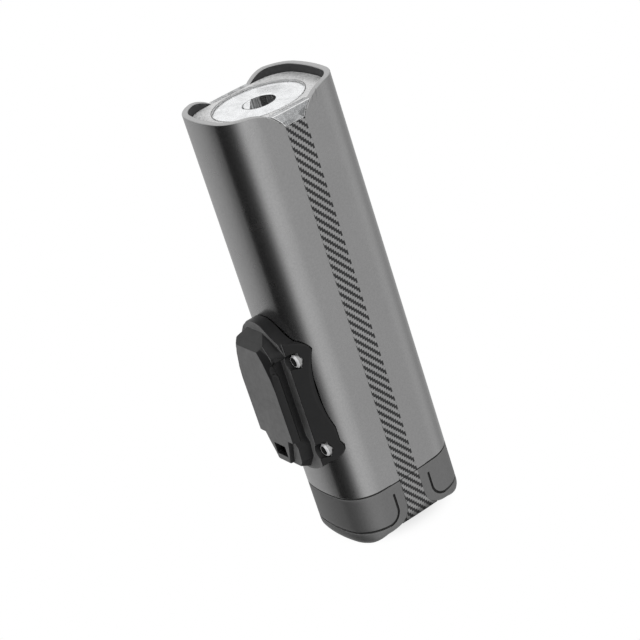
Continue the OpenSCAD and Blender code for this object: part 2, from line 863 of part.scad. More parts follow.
module usb_board_screws() {
    color("silver") place() for (sx = [-1, 1]) translate([sx * usb_screw_x, usb_screw_y, 0]) {
        slab(usb_board_d - 2.6, usb_board_d + usb_board_t + 0.5) circle(shank_r);
        slab(usb_board_d + usb_board_t, usb_board_d + usb_board_t + small_head_h) circle(small_head_r);
    }
}

module usb_socket() {
    skin = 0.3;
    tongue_t = 0.7;
    color([0.7, 0.7, 0.71]) place() {
        difference() {
            upward(port_y - socket_len, port_y) translate([0, port_d]) rounded(socket_w, socket_h, 1.5);
            upward(port_y - socket_len + 1, port_y + over) translate([0, port_d])
                rounded(socket_w - 2 * skin, socket_h - 2 * skin, 1.2);
        }
        upward(port_y - socket_len + 0.5, port_y - 0.8) translate([0, port_d])
            square([6.7, tongue_t], center = true);
    }
}

module board_flex() {
    flex_x = contact_half + 0.5;
    flex_t = 0.15;
    color([0.75, 0.45, 0.1]) place() {
        slab(board_d1 - 4, usb_board_d) box_between(flex_x, flex_x + 3, board_y, board_y + flex_t);
        slab(usb_board_d - flex_t, usb_board_d)
            box_between(flex_x, flex_x + 3, board_y - 3, board_y + flex_t);
    }
}

module tail_gasket() {
    color([0.08, 0.08, 0.08]) place() difference() {
        slab(seam_front, seam_rear) ring(0.25, wall_t);
        for (side = [-1, 1]) strip_pocket(side);
    }
}

module cap_screws() {
    color("silver") place() cap_screw_shape(0);
}

module port_cover() {
    color([0.12, 0.12, 0.13]) place() {
        intersection() {
            upward(pocket_y, body_h) translate([0, (cover_d0 + cover_d1) / 2])
                rounded(cover_w, cover_d1 - cover_d0, 1.2);
            slab(0, body_len) profile();
        }
        upward(pocket_y - plug_h, pocket_y + cover_t / 2) translate([0, port_d])
            rounded(socket_w - 2 * fit_gap, socket_h - 2 * fit_gap, 1.4);
        across(-neck_half, neck_half) {
            translate([hinge_y, hinge_d]) circle(bead_r);
            box_between(hinge_y - bead_r + 0.1, hinge_y + bead_r - 0.1, hinge_d, cover_d0 + 0.4);
        }
    }
}

// Plan of the saddle, about the mount's middle: a waist between two pairs of bumps, and a nose
// at each end
module saddle_plan() {
    bump_x = screw_x - 0.4;
    front_bump = -screw_span_z / 2 - 1.3;
    rear_bump = screw_span_z / 2 + 0.3;
    waist_d = -2.7;
    difference() {
        union() {
            box_between(0.4 - bump_x - bump_r, bump_x + bump_r - 0.4, front_bump, rear_bump);
            for (sx = [-1, 1], d = [front_bump, rear_bump]) translate([sx * bump_x, d]) circle(bump_r);
            polygon(both_sides([
                [bump_x + 1, front_bump + over], [bump_x + 0.2, front_bump - bump_r], [6.5, front_bump - 4.6],
                [4.9, front_bump - 6.1], [2.9, front_bump - 7.5], [1, front_bump - 8],
            ]));
            polygon(both_sides([
                [bump_x + 1, rear_bump - over], [bump_x + 0.2, rear_bump + bump_r], [7.1, rear_bump + 4],
                [4.6, rear_bump + 5.2], [2.3, rear_bump + 5.8], [1, rear_bump + 5.9],
            ]));
        }
        for (sx = [-1, 1]) translate([sx * (waist_half + waist_r), waist_d]) circle(waist_r);
    }
}

// Plan of the plate's contact face, as far as the tongue
module face_plan() {
    polygon(both_sides([
        [face_half - 3.8, -block_front], [face_half - 3.8, 2.5 - block_front],
        [face_half - 2.3, 3.5 - block_front], [face_half - 1.5, 4.9 - block_front],
        [face_half - 0.3, 9.2 - block_front], [face_half, 11.8 - block_front],
        [face_half, tongue_start],
    ]));
}

// Plan of the plate at the grooves, as far as the tongue
module plate_plan() {
    polygon(both_sides([
        [plate_half - 4.9, -nose_reach - block_front], [plate_half - 2.5, 1.2 - block_front],
        [plate_half - 0.4, 4.2 - block_front], [plate_half, 9.4 - block_front],
        [plate_half, tongue_start],
    ]));
}

// Plan of the stepped tongue at the tail
module tongue_plan() {
    tongue_end = tongue_start + tongue_len;
    polygon(both_sides([
        [tongue_half, tongue_start - 2], [tongue_half, tongue_start],
        [tongue_half - 0.7, tongue_start + 2.1], [tongue_half - 1.7, tongue_end - 2.1],
        [tongue_half - 2.5, tongue_end],
    ]));
}

// Plan of the block under the plate: the core between the grooves, closed by a wider front
module core_plan() {
    polygon(both_sides([
        [plate_half - 4.9, -nose_reach - block_front], [plate_half - 2.5, 1.2 - block_front],
        [plate_half - 0.4, 4.2 - block_front], [plate_half - 0.4, -groove_front],
        [core_half, -groove_front], [core_half, tongue_start + 0.9],
        [core_half + 0.9, tongue_start + 2.3], [core_half + 0.4, block_rear - 4.1],
        [core_half - 3, block_rear],
    ]));
}

// Side view of the block, whose ends slope from the saddle to the contact face
module block_side_view() {
    nose_y = saddle_y - nose_drop;
    polygon([[face_y, 2.5 - block_front], [nose_y, -0.5 - block_front],
        [saddle_y + 0.4, -0.5 - block_front], [saddle_y + 0.4, block_rear], [face_y, block_rear - 3.7]]);
}

// Side view of the saddle's front nose, which grows thicker towards its end
module nose_side_view() {
    nose_start = -groove_front - 0.4;
    polygon([[saddle_y + 0.4, nose_start], [saddle_y, nose_start], [saddle_y - nose_drop, -block_front],
        [saddle_y - nose_drop, -block_front - 4], [saddle_y + 0.4, -block_front - 4]]);
}

// Plan of the pocket for a screw's head, open towards the outside
module head_pocket(r) {
    circle(r);
    translate([0, -r]) square([2 * r + 2, 2 * r]);
}

module mount_plate() {
    latch_d = tongue_start + 3.5;
    color([0.1, 0.1, 0.105]) place() difference() {
        union() {
            intersection() {
                slab(mount_depth - 22, mount_depth + 22) polygon([[-7.8, saddle_y], [7.8, saddle_y],
                    [11.4, -corner_y - 5], [11.4, -corner_y], [-11.4, -corner_y],
                    [-11.4, -corner_y - 5]]);
                upward(saddle_y - over, -corner_y) translate([0, mount_depth]) saddle_plan();
            }
            intersection() {
                union() {
                    hull() {
                        upward(face_y, face_y + 0.1) translate([0, mount_depth]) face_plan();
                        upward(plate_y - 0.3, plate_y) translate([0, mount_depth]) plate_plan();
                    }
                    upward(face_y, plate_y) translate([0, mount_depth]) tongue_plan();
                }
                across(-body_w, body_w) translate([0, mount_depth]) block_side_view();
            }
            intersection() {
                slab(mount_depth - 22, mount_depth) square([2 * plate_half - 0.2, body_h * 2], center = true);
                upward(-body_h, 0) translate([0, mount_depth]) saddle_plan();
                across(-body_w, body_w) translate([0, mount_depth]) nose_side_view();
            }
            intersection() {
                upward(plate_y - 0.5, saddle_y + 0.3) translate([0, mount_depth]) core_plan();
                across(-body_w, body_w) translate([0, mount_depth]) block_side_view();
            }
        }
        slab(mount_depth - 22, mount_depth + 22) profile(-run_gap);
        upward(face_y - over, face_y + latch_depth) translate([0, mount_depth + latch_d])
            square([latch_w, latch_len], center = true);
        upward(head_seat_y - over / 2, 0) mount_screw_places() circle(big_shank_r + fit_gap);
        for (side = [0, 1], sz = [-1, 1]) mirror([side, 0, 0]) upward(-body_h, head_seat_y)
            translate([screw_x, mount_depth + sz * screw_span_z / 2]) head_pocket(mount_head_r + loose);
    }
}

module mount_screws() {
    tip_y = boss_y - loose;
    color([0.85, 0.85, 0.86]) place() {
        upward(head_seat_y - mount_head_h, head_seat_y) mount_screw_places() circle(mount_head_r);
        upward(head_seat_y - 0.5, tip_y) mount_screw_places() circle(big_shank_r);
    }
}

body_shell();
tail_cap();
side_strip_right();
side_strip_left();
front_lens();
lens_gasket();
optic();
optic_holder();
led_emitter();
led_board();
heat_sink();
front_screws();
led_wires();
battery_cell();
front_contact();
rear_contact();
front_cell_pad();
rear_cell_pad();
cell_cushion();
inner_frame();
main_board();
board_screws();
power_inductor();
control_chips();
level_lights();
light_pipe();
tact_switch();
switch_plunger();
power_button();
button_seal();
usb_board();
usb_board_screws();
usb_socket();
board_flex();
tail_gasket();
cap_screws();
port_cover();
mount_plate();
mount_screws();
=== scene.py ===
"""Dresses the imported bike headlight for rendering. All lengths are metres in the part's own frame:
the light stands on its tail with the beam along +Z, -Y faces the mount and +Y the power button."""
import math

import bmesh
import bpy
from bpy.types import Operator, PropertyGroup
from mathutils import Matrix, Vector


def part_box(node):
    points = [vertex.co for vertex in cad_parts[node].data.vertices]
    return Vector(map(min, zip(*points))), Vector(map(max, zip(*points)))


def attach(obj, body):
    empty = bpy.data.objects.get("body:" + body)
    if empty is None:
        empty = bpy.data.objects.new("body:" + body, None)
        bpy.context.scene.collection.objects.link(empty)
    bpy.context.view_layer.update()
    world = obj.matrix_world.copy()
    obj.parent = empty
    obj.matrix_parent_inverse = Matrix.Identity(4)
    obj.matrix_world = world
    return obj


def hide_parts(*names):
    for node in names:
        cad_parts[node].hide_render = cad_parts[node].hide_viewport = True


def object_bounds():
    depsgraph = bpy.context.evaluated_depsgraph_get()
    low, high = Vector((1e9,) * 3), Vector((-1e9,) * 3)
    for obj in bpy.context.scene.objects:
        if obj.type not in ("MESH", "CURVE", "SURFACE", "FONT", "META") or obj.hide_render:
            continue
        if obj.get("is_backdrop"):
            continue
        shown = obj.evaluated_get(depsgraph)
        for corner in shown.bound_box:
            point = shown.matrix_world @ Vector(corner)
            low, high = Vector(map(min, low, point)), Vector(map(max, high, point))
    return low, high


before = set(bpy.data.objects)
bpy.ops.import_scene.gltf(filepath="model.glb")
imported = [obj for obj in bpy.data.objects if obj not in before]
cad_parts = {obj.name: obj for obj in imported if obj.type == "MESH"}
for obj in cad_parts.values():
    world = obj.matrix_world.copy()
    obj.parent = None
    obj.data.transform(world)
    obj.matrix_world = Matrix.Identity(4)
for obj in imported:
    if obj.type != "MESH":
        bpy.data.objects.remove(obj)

bl_info = {
    "name": "Bike headlight",
    "version": (1, 0, 0),
    "blender": (4, 5, 0),
    "location": "View3D > Sidebar > Headlight",
    "description": "Builds the shell, cap, strips, lens, optic, mount and stage of a bike headlight",
    "category": "Object",
}

MM = 0.001
BODY_Y = 0.022
RIM_Z = 0.0678
SEAM_Z = -0.0261

# Tolerances: a hair's gap between surfaces, and how near points must be to be welded
HAIR = 0.00001
WELD = 2e-6
FINE_WELD = 1e-7

# How far a body that trims a piece stands out past it
OVERHANG = 0.001

# Degrees from which an edge counts as sharp, and within which triangles make one flat face
SHARP = 28.0
FLAT = 0.05

# Points round the body's section and round turned shapes
SECTION_STEPS = 240
LATHE_STEPS = 144

WHITE = (1.0, 1.0, 1.0, 1.0)
COAT_ROUGHNESS = 0.1
NODE_STEP = 180


# Section of the body: shallow arcs at the sides and ends, and one circle at each corner

HALF_W = 0.013
HALF_H = 0.0155
CORNER_R = 0.008
SIDE_BULGE = 0.0002
END_BULGE = 0.0004
CORNER_X = HALF_W - CORNER_R - SIDE_BULGE
CORNER_Y = HALF_H - CORNER_R - END_BULGE
SIDE_R = (CORNER_Y ** 2 + SIDE_BULGE ** 2) / (2 * SIDE_BULGE) + CORNER_R
END_R = (CORNER_X ** 2 + END_BULGE ** 2) / (2 * END_BULGE) + CORNER_R
SIDE_SPAN = CORNER_Y * SIDE_R / (SIDE_R - CORNER_R)
END_SPAN = CORNER_X * END_R / (END_R - CORNER_R)


def in_section(x, y, inset):
    """True where a point, counted from the body's axis, lies inside the section drawn in by inset."""
    x = abs(x)
    y = abs(y)
    if math.hypot(x - CORNER_X, y - CORNER_Y) <= CORNER_R - inset:
        return True
    if y <= SIDE_SPAN and math.hypot(x - (HALF_W - SIDE_R), y) <= SIDE_R - inset:
        return True
    return x <= END_SPAN and math.hypot(x, y - (HALF_H - END_R)) <= END_R - inset


def side_reach(y):
    """Distance of the section's side from the middle plane, at the height y over the axis."""
    y = abs(y)
    if y <= SIDE_SPAN:
        return HALF_W - SIDE_R + math.sqrt(SIDE_R ** 2 - y ** 2)
    return CORNER_X + math.sqrt(CORNER_R ** 2 - (y - CORNER_Y) ** 2)


def section_reach(turn, inset):
    """Distance from the axis to the section's outline in the direction turn."""
    near = 0.005
    far = 0.018
    for _ in range(22):
        middle = (near + far) / 2
        if in_section(middle * math.cos(turn), middle * math.sin(turn), inset):
            near = middle
        else:
            far = middle
    return near


# Meshes

def new_piece(name, shape, materials, body="light"):
    """Makes an object from a bmesh, smooth shaded, and lets it ride on a body."""
    mesh = bpy.data.meshes.new(name)
    for face in shape.faces:
        face.smooth = True
    shape.to_mesh(mesh)
    shape.free()
    for material in materials:
        mesh.materials.append(material)
    piece = bpy.data.objects.new(name, mesh)
    bpy.context.scene.collection.objects.link(piece)
    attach(piece, body)
    return piece


def dress(node, material):
    """Gives a CAD node another material."""
    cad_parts[node].material_slots[0].material = material


def node_shape(node):
    """A bmesh of a CAD node with its triangles welded and its flat faces whole."""
    shape = bmesh.new()
    shape.from_mesh(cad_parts[node].data)
    bmesh.ops.remove_doubles(shape, verts=shape.verts, dist=WELD)
    bmesh.ops.dissolve_limit(shape, angle_limit=math.radians(FLAT), verts=shape.verts, edges=shape.edges)
    return shape


def overlap(shape, other):
    """The part of a shape that lies inside another one."""
    objects = []
    for part in (shape, other):
        mesh = bpy.data.meshes.new("Overlap")
        part.to_mesh(mesh)
        part.free()
        objects.append(bpy.data.objects.new("Overlap", mesh))
        bpy.context.scene.collection.objects.link(objects[-1])
    cut = objects[0].modifiers.new("Overlap", "BOOLEAN")
    cut.operation = "INTERSECT"
    cut.solver = "EXACT"
    cut.object = objects[1]
    result = bmesh.new()
    result.from_mesh(objects[0].evaluated_get(bpy.context.evaluated_depsgraph_get()).to_mesh())
    for used in objects:
        bpy.data.meshes.remove(used.data)
    bmesh.ops.remove_doubles(result, verts=result.verts, dist=WELD)
    return result


def face_out(shape):
    bmesh.ops.recalc_face_normals(shape, faces=shape.faces)
    return shape


def close(shape):
    """Welds the ends of bridged loops and turns every face outwards."""
    bmesh.ops.remove_doubles(shape, verts=shape.verts, dist=FINE_WELD)
    return face_out(shape)


def weigh_edges(shape, weight):
    """Stores how much of the bevel each sharp edge gets; weight is called with the edge's middle."""
    layer = shape.edges.layers.float.new("bevel_weight_edge")
    for edge in shape.edges:
        if len(edge.link_faces) == 2 and edge.calc_face_angle(0.0) > math.radians(SHARP):
            edge[layer] = weight((edge.verts[0].co + edge.verts[1].co) / 2)


def even_shading(piece, weight=50):
    normals = piece.modifiers.new("Even shading", "WEIGHTED_NORMAL")
    normals.weight = weight
    normals.keep_sharp = False


def soften(piece, width, segments=2, angle=SHARP, weighed=False):
    """Rounds a piece's edges and evens its shading."""
    bevel = piece.modifiers.new("Soft edges", "BEVEL")
    bevel.width = width
    bevel.segments = segments
    bevel.limit_method = "WEIGHT" if weighed else "ANGLE"
    bevel.angle_limit = math.radians(angle)
    bevel.use_clamp_overlap = False
    even_shading(piece, 60)


def bridge(shape, loops, material=0):
    """Joins neighbouring loops of points with faces. A loop of one point closes to a tip."""
    rings = [[shape.verts.new(point) for point in loop] for loop in loops]
    steps = max(len(ring) for ring in rings)
    for first, second in zip(rings, rings[1:]):
        for i in range(steps):
            j = (i + 1) % steps
            around = [first[i % len(first)], first[j % len(first)], second[j % len(second)],
                      second[i % len(second)]]
            unique = [v for k, v in enumerate(around) if v not in around[:k]]
            if len(unique) > 2:
                shape.faces.new(unique).material_index = material
    return rings


def round_loop(radius, steps):
    """Pairs of offsets round a circle, or the centre alone where the radius is 0."""
    turns = [2 * math.pi * i / steps for i in range(steps if radius else 1)]
    return [(radius * math.cos(turn), radius * math.sin(turn)) for turn in turns]


def circle(radius, z, steps):
    """Points of a circle about the body's axis."""
    return [(across, BODY_Y + up, z) for across, up in round_loop(radius, steps)]


def section_loop(inset, z, steps):
    """Points of the body's section, at the same turns as a circle's."""
    points = []
    for i in range(steps):
        turn = 2 * math.pi * i / steps
        reach = section_reach(turn, inset)
        points.append((reach * math.cos(turn), BODY_Y + reach * math.sin(turn), z))
    return points


def lathe(shape, outline, material=0):
    """Turns an outline of (radius, z) points about the body's axis."""
    bridge(shape, [circle(radius, z, LATHE_STEPS) for radius, z in outline], material)


# Node trees

def grey(value):
    return (value, value, value, 1.0)


def connect(node, sockets):
    """Gives each named socket of a node a value, or another node's output to link."""
    for key, value in sockets.items():
        if isinstance(value, bpy.types.NodeSocket):
            node.id_data.links.new(value, node.inputs[key])
        else:
            node.inputs[key].default_value = value
    return node


def add(tree, kind, sockets=None, **settings):
    """Adds a node with its settings and sockets."""
    node = tree.nodes.new("ShaderNode" + kind)
    node.location = (NODE_STEP * len(tree.nodes), 0)
    for key, value in settings.items():
        setattr(node, key, value)
    return connect(node, sockets or {})


def calc(operation, first, second=0.0):
    """Adds a sum to the tree that the first value, an output, belongs to."""
    return add(first.id_data, "Math", {0: first, 1: second}, operation=operation).outputs[0]


def plus(first, second):
    return calc("ADD", first, second)


def minus(first, second):
    return calc("SUBTRACT", first, second)


def times(first, second):
    return calc("MULTIPLY", first, second)


def diagonal(first, second):
    """Distance that two sides at a right angle span."""
    squares = plus(calc("POWER", first, 2.0), calc("POWER", second, 2.0))
    return calc("SQRT", squares)


def ranged(value, low, high, to_low, to_high, smooth=False):
    """Maps one range of values to another."""
    kind = "SMOOTHSTEP" if smooth else "LINEAR"
    sockets = {"Value": value, "From Min": low, "From Max": high, "To Min": to_low, "To Max": to_high}
    return add(value.id_data, "MapRange", sockets, interpolation_type=kind).outputs["Result"]


def greys(value, stops):
    """A ramp of greys, each stored under its position."""
    ramp = add(value.id_data, "ValToRGB", {0: value})
    marks = ramp.color_ramp.elements
    while len(marks) < len(stops):
        marks.new(0.5)
    for mark, (position, level) in zip(marks, stops.items()):
        mark.position = position
        mark.color = grey(level)
    return ramp.outputs["Color"]


def blend_colour(factor, first, second):
    sockets = {0: factor, 6: first, 7: second}
    return add(factor.id_data, "Mix", sockets, data_type="RGBA").outputs[2]


def shade(colour, factor):
    """A colour times a number."""
    return add(factor.id_data, "Mix", {0: 1.0, 6: colour, 7: factor}, data_type="RGBA",
               blend_type="MULTIPLY").outputs[2]


def here(tree):
    return add(tree, "TexCoord").outputs["Object"]


def split(tree, vector=None):
    """The X, Y and Z of a vector, or of the place on the surface."""
    return add(tree, "SeparateXYZ", {0: here(tree) if vector is None else vector}).outputs


def join(tree, **sides):
    return add(tree, "CombineXYZ", sides).outputs[0]


def noise(tree, scale, detail, vector=None, distortion=0.0):
    sockets = {"Vector": here(tree) if vector is None else vector, "Scale": scale, "Detail": detail,
               "Distortion": distortion}
    return add(tree, "TexNoise", sockets).outputs["Fac"]


def bump(height, distance, strength=1.0):
    sockets = {"Height": height, "Distance": distance, "Strength": strength}
    return add(height.id_data, "Bump", sockets).outputs["Normal"]


def effect(name, inputs, outputs):
    """Starts a shared effect: a node group with its sockets, and its two end nodes."""
    tree = bpy.data.node_groups.new(name, "ShaderNodeTree")
    number = "NodeSocketFloat"
    for label, value in inputs.items():
        tree.interface.new_socket(label, in_out="INPUT", socket_type=number).default_value = value
    for label in outputs:
        tree.interface.new_socket(label, in_out="OUTPUT", socket_type=number)
    start = tree.nodes.new("NodeGroupInput")
    return tree, start.outputs, tree.nodes.new("NodeGroupOutput")


def use(tree, name, **sockets):
    """Places a shared effect in a tree, with its own values."""
    node = add(tree, "Group", node_tree=bpy.data.node_groups[name])
    return connect(node, sockets).outputs


def build_effects():
    """Builds every effect that more than one material uses."""
    # Fine grain of blasted metal, cast rubber and moulded plastic
    tree, given, end = effect("Grain", {"Scale": 3000.0}, ["Height", "Shade"])
    both = plus(noise(tree, given["Scale"], 2.0), noise(tree, times(given["Scale"], 0.37), 1.0))
    connect(end, {"Height": times(both, 0.5), "Shade": ranged(both, 0.7, 1.3, -1.0, 1.0)})

    # Slow change over a whole piece, as left by casting, anodising or handling
    tree, given, end = effect("Mottle", {"Scale": 70.0}, ["Shade", "Smudge"])
    slow = noise(tree, given["Scale"], 3.0)
    smear = noise(tree, times(given["Scale"], 2.3), 4.0, distortion=1.2)
    connect(end, {"Shade": ranged(slow, 0.3, 0.7, -1.0, 1.0),
                        "Smudge": ranged(smear, 0.45, 0.7, 0.0, 1.0, True)})

    # Bare or rubbed material along the outer edges
    tree, given, end = effect("Edge wear", {"Amount": 0.5, "Scale": 900.0}, ["Mask"])
    sharp = ranged(add(tree, "NewGeometry").outputs["Pointiness"], 0.52, 0.6, 0.0, 1.0, True)
    broken = ranged(noise(tree, given["Scale"], 3.0), 0.4, 0.62, 0.25, 1.0, True)
    connect(end, {"Mask": times(times(sharp, broken), given["Amount"])})

    # Twill of cells that are longer than wide: two up and two down, one step along each row
    tree, given, end = effect("Twill", {"Cell": 0.000455, "Stretch": 1.28, "Fray": 0.14},
                              ["Band", "Height", "Thread"])
    place = split(tree)
    shift = times(minus(noise(tree, 2600.0, 1.0), 0.5), given["Fray"])
    across = plus(calc("DIVIDE", place["Y"], given["Cell"]), shift)
    long_cell = times(given["Cell"], given["Stretch"])
    along = plus(calc("DIVIDE", place["Z"], long_cell), shift)
    step = plus(calc("FLOOR", across), calc("FLOOR", along))
    over = calc("LESS_THAN", calc("FLOORED_MODULO", step, 4.0), 1.5)
    inside = [calc("FRACT", along), calc("FRACT", across)]
    for label, waves in (("Height", 1), ("Thread", 8)):
        crowns = [calc("SINE", times(part, waves * math.pi)) for part in inside]
        both = add(tree, "Mix", {0: over, 2: crowns[0], 3: crowns[1]}).outputs[0]
        connect(end, {label: both})
    connect(end, {"Band": over})

    # Painted shadow: a dark line where a piece meets the body's rounded corners
    tree, given, end = effect("Contact shadow", {"Width": 0.0003}, ["Mask"])
    place = split(tree)
    off_x = minus(calc("ABSOLUTE", place["X"]), CORNER_X)
    off_y = minus(calc("ABSOLUTE", minus(place["Y"], BODY_Y)), CORNER_Y)
    away = diagonal(calc("MAXIMUM", off_x, 0.0), calc("MAXIMUM", off_y, 0.0))
    near = times(given["Width"], 0.5)
    gap = minus(away, CORNER_R)
    connect(end, {"Mask": ranged(gap, near, given["Width"], 1.0, 0.0, True)})

    # Small cells of moulded and of frosted plastic
    tree, given, end = effect("Cells", {"Scale": 2200.0}, ["Edge", "Fill"])
    cells = add(tree, "TexVoronoi", {"Vector": here(tree), "Scale": given["Scale"]}).outputs
    fill = add(tree, "SeparateColor", {0: cells["Color"]}).outputs[0]
    connect(end, {"Edge": ranged(cells["Distance"], 0.1, 0.7, 0.0, 1.0, True), "Fill": fill})


def start_material(name):
    material = bpy.data.materials.new(name)
    material.use_nodes = True
    tree = material.node_tree
    return material, tree, tree.nodes["Principled BSDF"]


def finish(name, colour, roughness, metallic=0.0, grain=3000.0, relief=0.00001, speck=0.04, mottle=0.04,
           smudge=0.06, wear=0.0, worn=grey(0.6), coat=0.0, specular=0.5):
    """A finish made of a colour and the shared effects, each at its own strength."""
    material, tree, shader = start_material(name)
    fine = use(tree, "Grain", Scale=grain)
    slow = use(tree, "Mottle")
    shading = plus(times(fine["Shade"], speck), times(slow["Shade"], mottle))
    base = shade(tuple(colour), plus(shading, 1.0))
    if wear > 0.0:
        base = blend_colour(use(tree, "Edge wear", Amount=wear)["Mask"], base, worn)
    connect(shader, {
        "Base Color": base,
        "Roughness": plus(times(slow["Smudge"], smudge), roughness),
        "Normal": bump(fine["Height"], relief),
        "Metallic": metallic,
        "Coat Weight": coat,
        "Coat Roughness": COAT_ROUGHNESS,
        "Specular IOR Level": specular,
    })
    return material


# Materials of single pieces

# Heights between which the strip's end darkens, and half widths of the dark line at the seam
DARK_END = (-0.0364, -0.034)
SEAM_LINE = (0.00008, 0.00018)

# Painted reflection on the well's wall: greys round half of the well, from this angle on
WELL_FROM = 58
WELL_PAINTED_LIGHT = {0.0: 0.0, 0.2: 0.0, 0.22: 0.1, 0.36: 0.08, 0.38: 0.0, 0.48: 0.0, 0.5: 0.42, 0.62: 0.5,
              0.66: 0.95, 1.0: 0.95}


def twill(given):
    """Woven threads, darker at the seam and towards the tail."""
    material, tree, shader = start_material("Twill")
    twill = use(tree, "Twill", Cell=given.cell)
    woven = blend_colour(twill["Band"], given.light_thread, given.dark_thread)
    fine = use(tree, "Grain", Scale=4200.0)["Shade"]
    lit = plus(times(twill["Thread"], 0.06), times(fine, 0.1))
    lit = plus(lit, times(use(tree, "Mottle")["Shade"], 0.04))
    height = split(tree)["Z"]
    off_seam = calc("ABSOLUTE", plus(height, -SEAM_Z))
    lit = times(plus(lit, 1.0), ranged(off_seam, *SEAM_LINE, 0.35, 1.0))
    lit = times(lit, ranged(height, *DARK_END, 0.3, 1.0, True))
    connect(shader, {
        "Base Color": shade(woven, lit),
        "Roughness": ranged(twill["Band"], 0.0, 1.0, 0.46, 0.55),
        "Normal": bump(twill["Height"], 0.00004, 0.6),
        "Metallic": 0.75,
    })
    return material


def clear_glass():
    material, tree, shader = start_material("Clear lens")
    slow = use(tree, "Mottle", Scale=120.0)
    tint = ranged(slow["Shade"], -1.0, 1.0, 0.975, 1.0)
    connect(shader, {
        "Base Color": shade((0.99, 0.995, 1.0, 1.0), tint),
        "Roughness": plus(times(slow["Smudge"], 0.01), 0.015),
        "Normal": bump(use(tree, "Grain", Scale=1400.0)["Height"], 0.0000015),
        "Transmission Weight": 1.0,
        "IOR": 1.04,
    })
    return material


def faceted(given):
    """Clear plastic moulded in small facets, each of its own tone, with cloudy patches."""
    material, tree, shader = start_material("Side window")
    facets = use(tree, "Cells", Scale=420.0)
    fine = use(tree, "Cells", Scale=2600.0)
    slow = use(tree, "Mottle", Scale=300.0)
    tone = plus(times(facets["Fill"], 0.7), times(fine["Fill"], 0.2))
    tone = plus(tone, times(slow["Smudge"], 0.12))
    height = plus(facets["Edge"], times(fine["Edge"], 0.2))
    connect(shader, {
        "Base Color": shade(given.window, plus(tone, 0.36)),
        "Roughness": ranged(fine["Fill"], 0.0, 1.0, 0.05, 0.3),
        "Normal": bump(height, 0.00012),
        "Transmission Weight": 0.45,
    })
    return material


def frosted(given):
    """Pale speckled ring: fine cells that catch the light one by one, with painted shade that darkens it
    towards the wall.
    """
    material, tree, shader = start_material("Frosted ring")
    cells = use(tree, "Cells", Scale=3600.0)
    slow = use(tree, "Mottle", Scale=240.0)
    up = calc("ABSOLUTE", minus(split(tree)["Y"], BODY_Y))
    wall_shade_span = (0.0095, 0.0132)
    # Painted shade: the specks deepen and the ring darkens towards the wall
    depth = ranged(up, *wall_shade_span, 0.3, 0.6)
    speck = plus(times(cells["Fill"], depth), times(slow["Shade"], 0.05))
    speck = times(plus(speck, 0.78), ranged(up, *wall_shade_span, 1.0, 0.6, True))
    connect(shader, {
        "Base Color": shade(given.frosted, speck),
        "Roughness": ranged(cells["Fill"], 0.0, 1.0, 0.25, 0.6),
        "Normal": bump(cells["Edge"], 0.00002, 0.5),
    })
    return material


def silver():
    """Bright metal with faint turned rings, and soft streaks that run outwards, painted reflection that
    darkens its colour.
    """
    material, tree, shader = start_material("Silvered optic")
    place = split(tree)
    up = minus(place["Y"], BODY_Y)
    away = diagonal(place["X"], up)
    turn = calc("ARCTAN2", up, place["X"])
    around = join(tree, X=calc("COSINE", turn), Y=calc("SINE", turn), Z=times(away, 60.0))
    streaks = noise(tree, 3.2, 2.0, around)
    rings = noise(tree, 1.0, 2.0, join(tree, X=times(away, 900.0)))
    # Painted reflection: the streaks darken the metal's colour
    soft = ranged(streaks, 0.35, 0.55, 0.86, 1.0, True)
    ringed = ranged(rings, 0.35, 0.55, 0.95, 1.0, True)
    connect(shader, {
        "Base Color": shade(grey(0.99), times(soft, ringed)),
        "Roughness": ranged(streaks, 0.3, 0.7, 0.2, 0.3),
        "Normal": bump(rings, 0.00002),
        "Metallic": 0.8,
    })
    return material


def well_wall_painted_reflection():
    """Smooth wall with upright streaks, dark and broken by two bright stretches, both painted reflection.
    """
    material, tree, shader = start_material("Well wall painted reflection")
    place = split(tree)
    turn = calc("ARCTAN2", minus(place["Y"], BODY_Y), place["X"])
    half = calc("FLOORED_MODULO", minus(turn, math.radians(WELL_FROM)), math.pi)
    # Painted reflection: the wall's tone and its gloss follow the angle round the well
    painted_reflection = greys(calc("DIVIDE", half, math.pi), WELL_PAINTED_LIGHT)
    line = join(tree, X=times(turn, 9.0), Z=times(place["Z"], 60.0))
    streaks = noise(tree, 1.6, 3.0, line)
    level = times(ranged(streaks, 0.4, 0.6, 0.3, 1.0, True), painted_reflection)
    connect(shader, {
        "Base Color": shade(WHITE, level),
        "Roughness": ranged(streaks, 0.3, 0.7, 0.4, 0.55),
        "Specular IOR Level": times(painted_reflection, 0.5),
    })
    return material


def plastic(name, tone, roughness, grain, relief, specular):
    """Black plastic with its grain, and a painted shadow that darkens it where it meets the shell."""
    material = finish(name, tone, roughness, grain=grain, relief=relief, speck=0.12, mottle=0.1,
                      wear=0.06, worn=grey(0.1), specular=specular)
    tree = material.node_tree
    shader = tree.nodes["Principled BSDF"]
    # Painted shadow along the line where the mount meets the shell, which also takes its gloss away
    contact_shadow = use(tree, "Contact shadow")["Mask"]
    base = shader.inputs["Base Color"].links[0].from_socket
    connect(shader, {"Base Color": blend_colour(contact_shadow, base, grey(0.001)),
                           "Specular IOR Level": ranged(contact_shadow, 0.0, 1.0, specular, 0.0)})
    return material


# Settings

def length(name, description, value):
    return bpy.props.FloatProperty(name=name, description=description, default=value, min=0.0,
                                   unit="LENGTH", subtype="DISTANCE", precision=5)


def colour(name, description, red, green=None, blue=None):
    """A colour, grey where only one number is given."""
    value = grey(red) if green is None else (red, green, blue, 1.0)
    return bpy.props.FloatVectorProperty(name=name, description=description, default=value, size=4,
                                         subtype="COLOR", min=0.0, max=1.0)


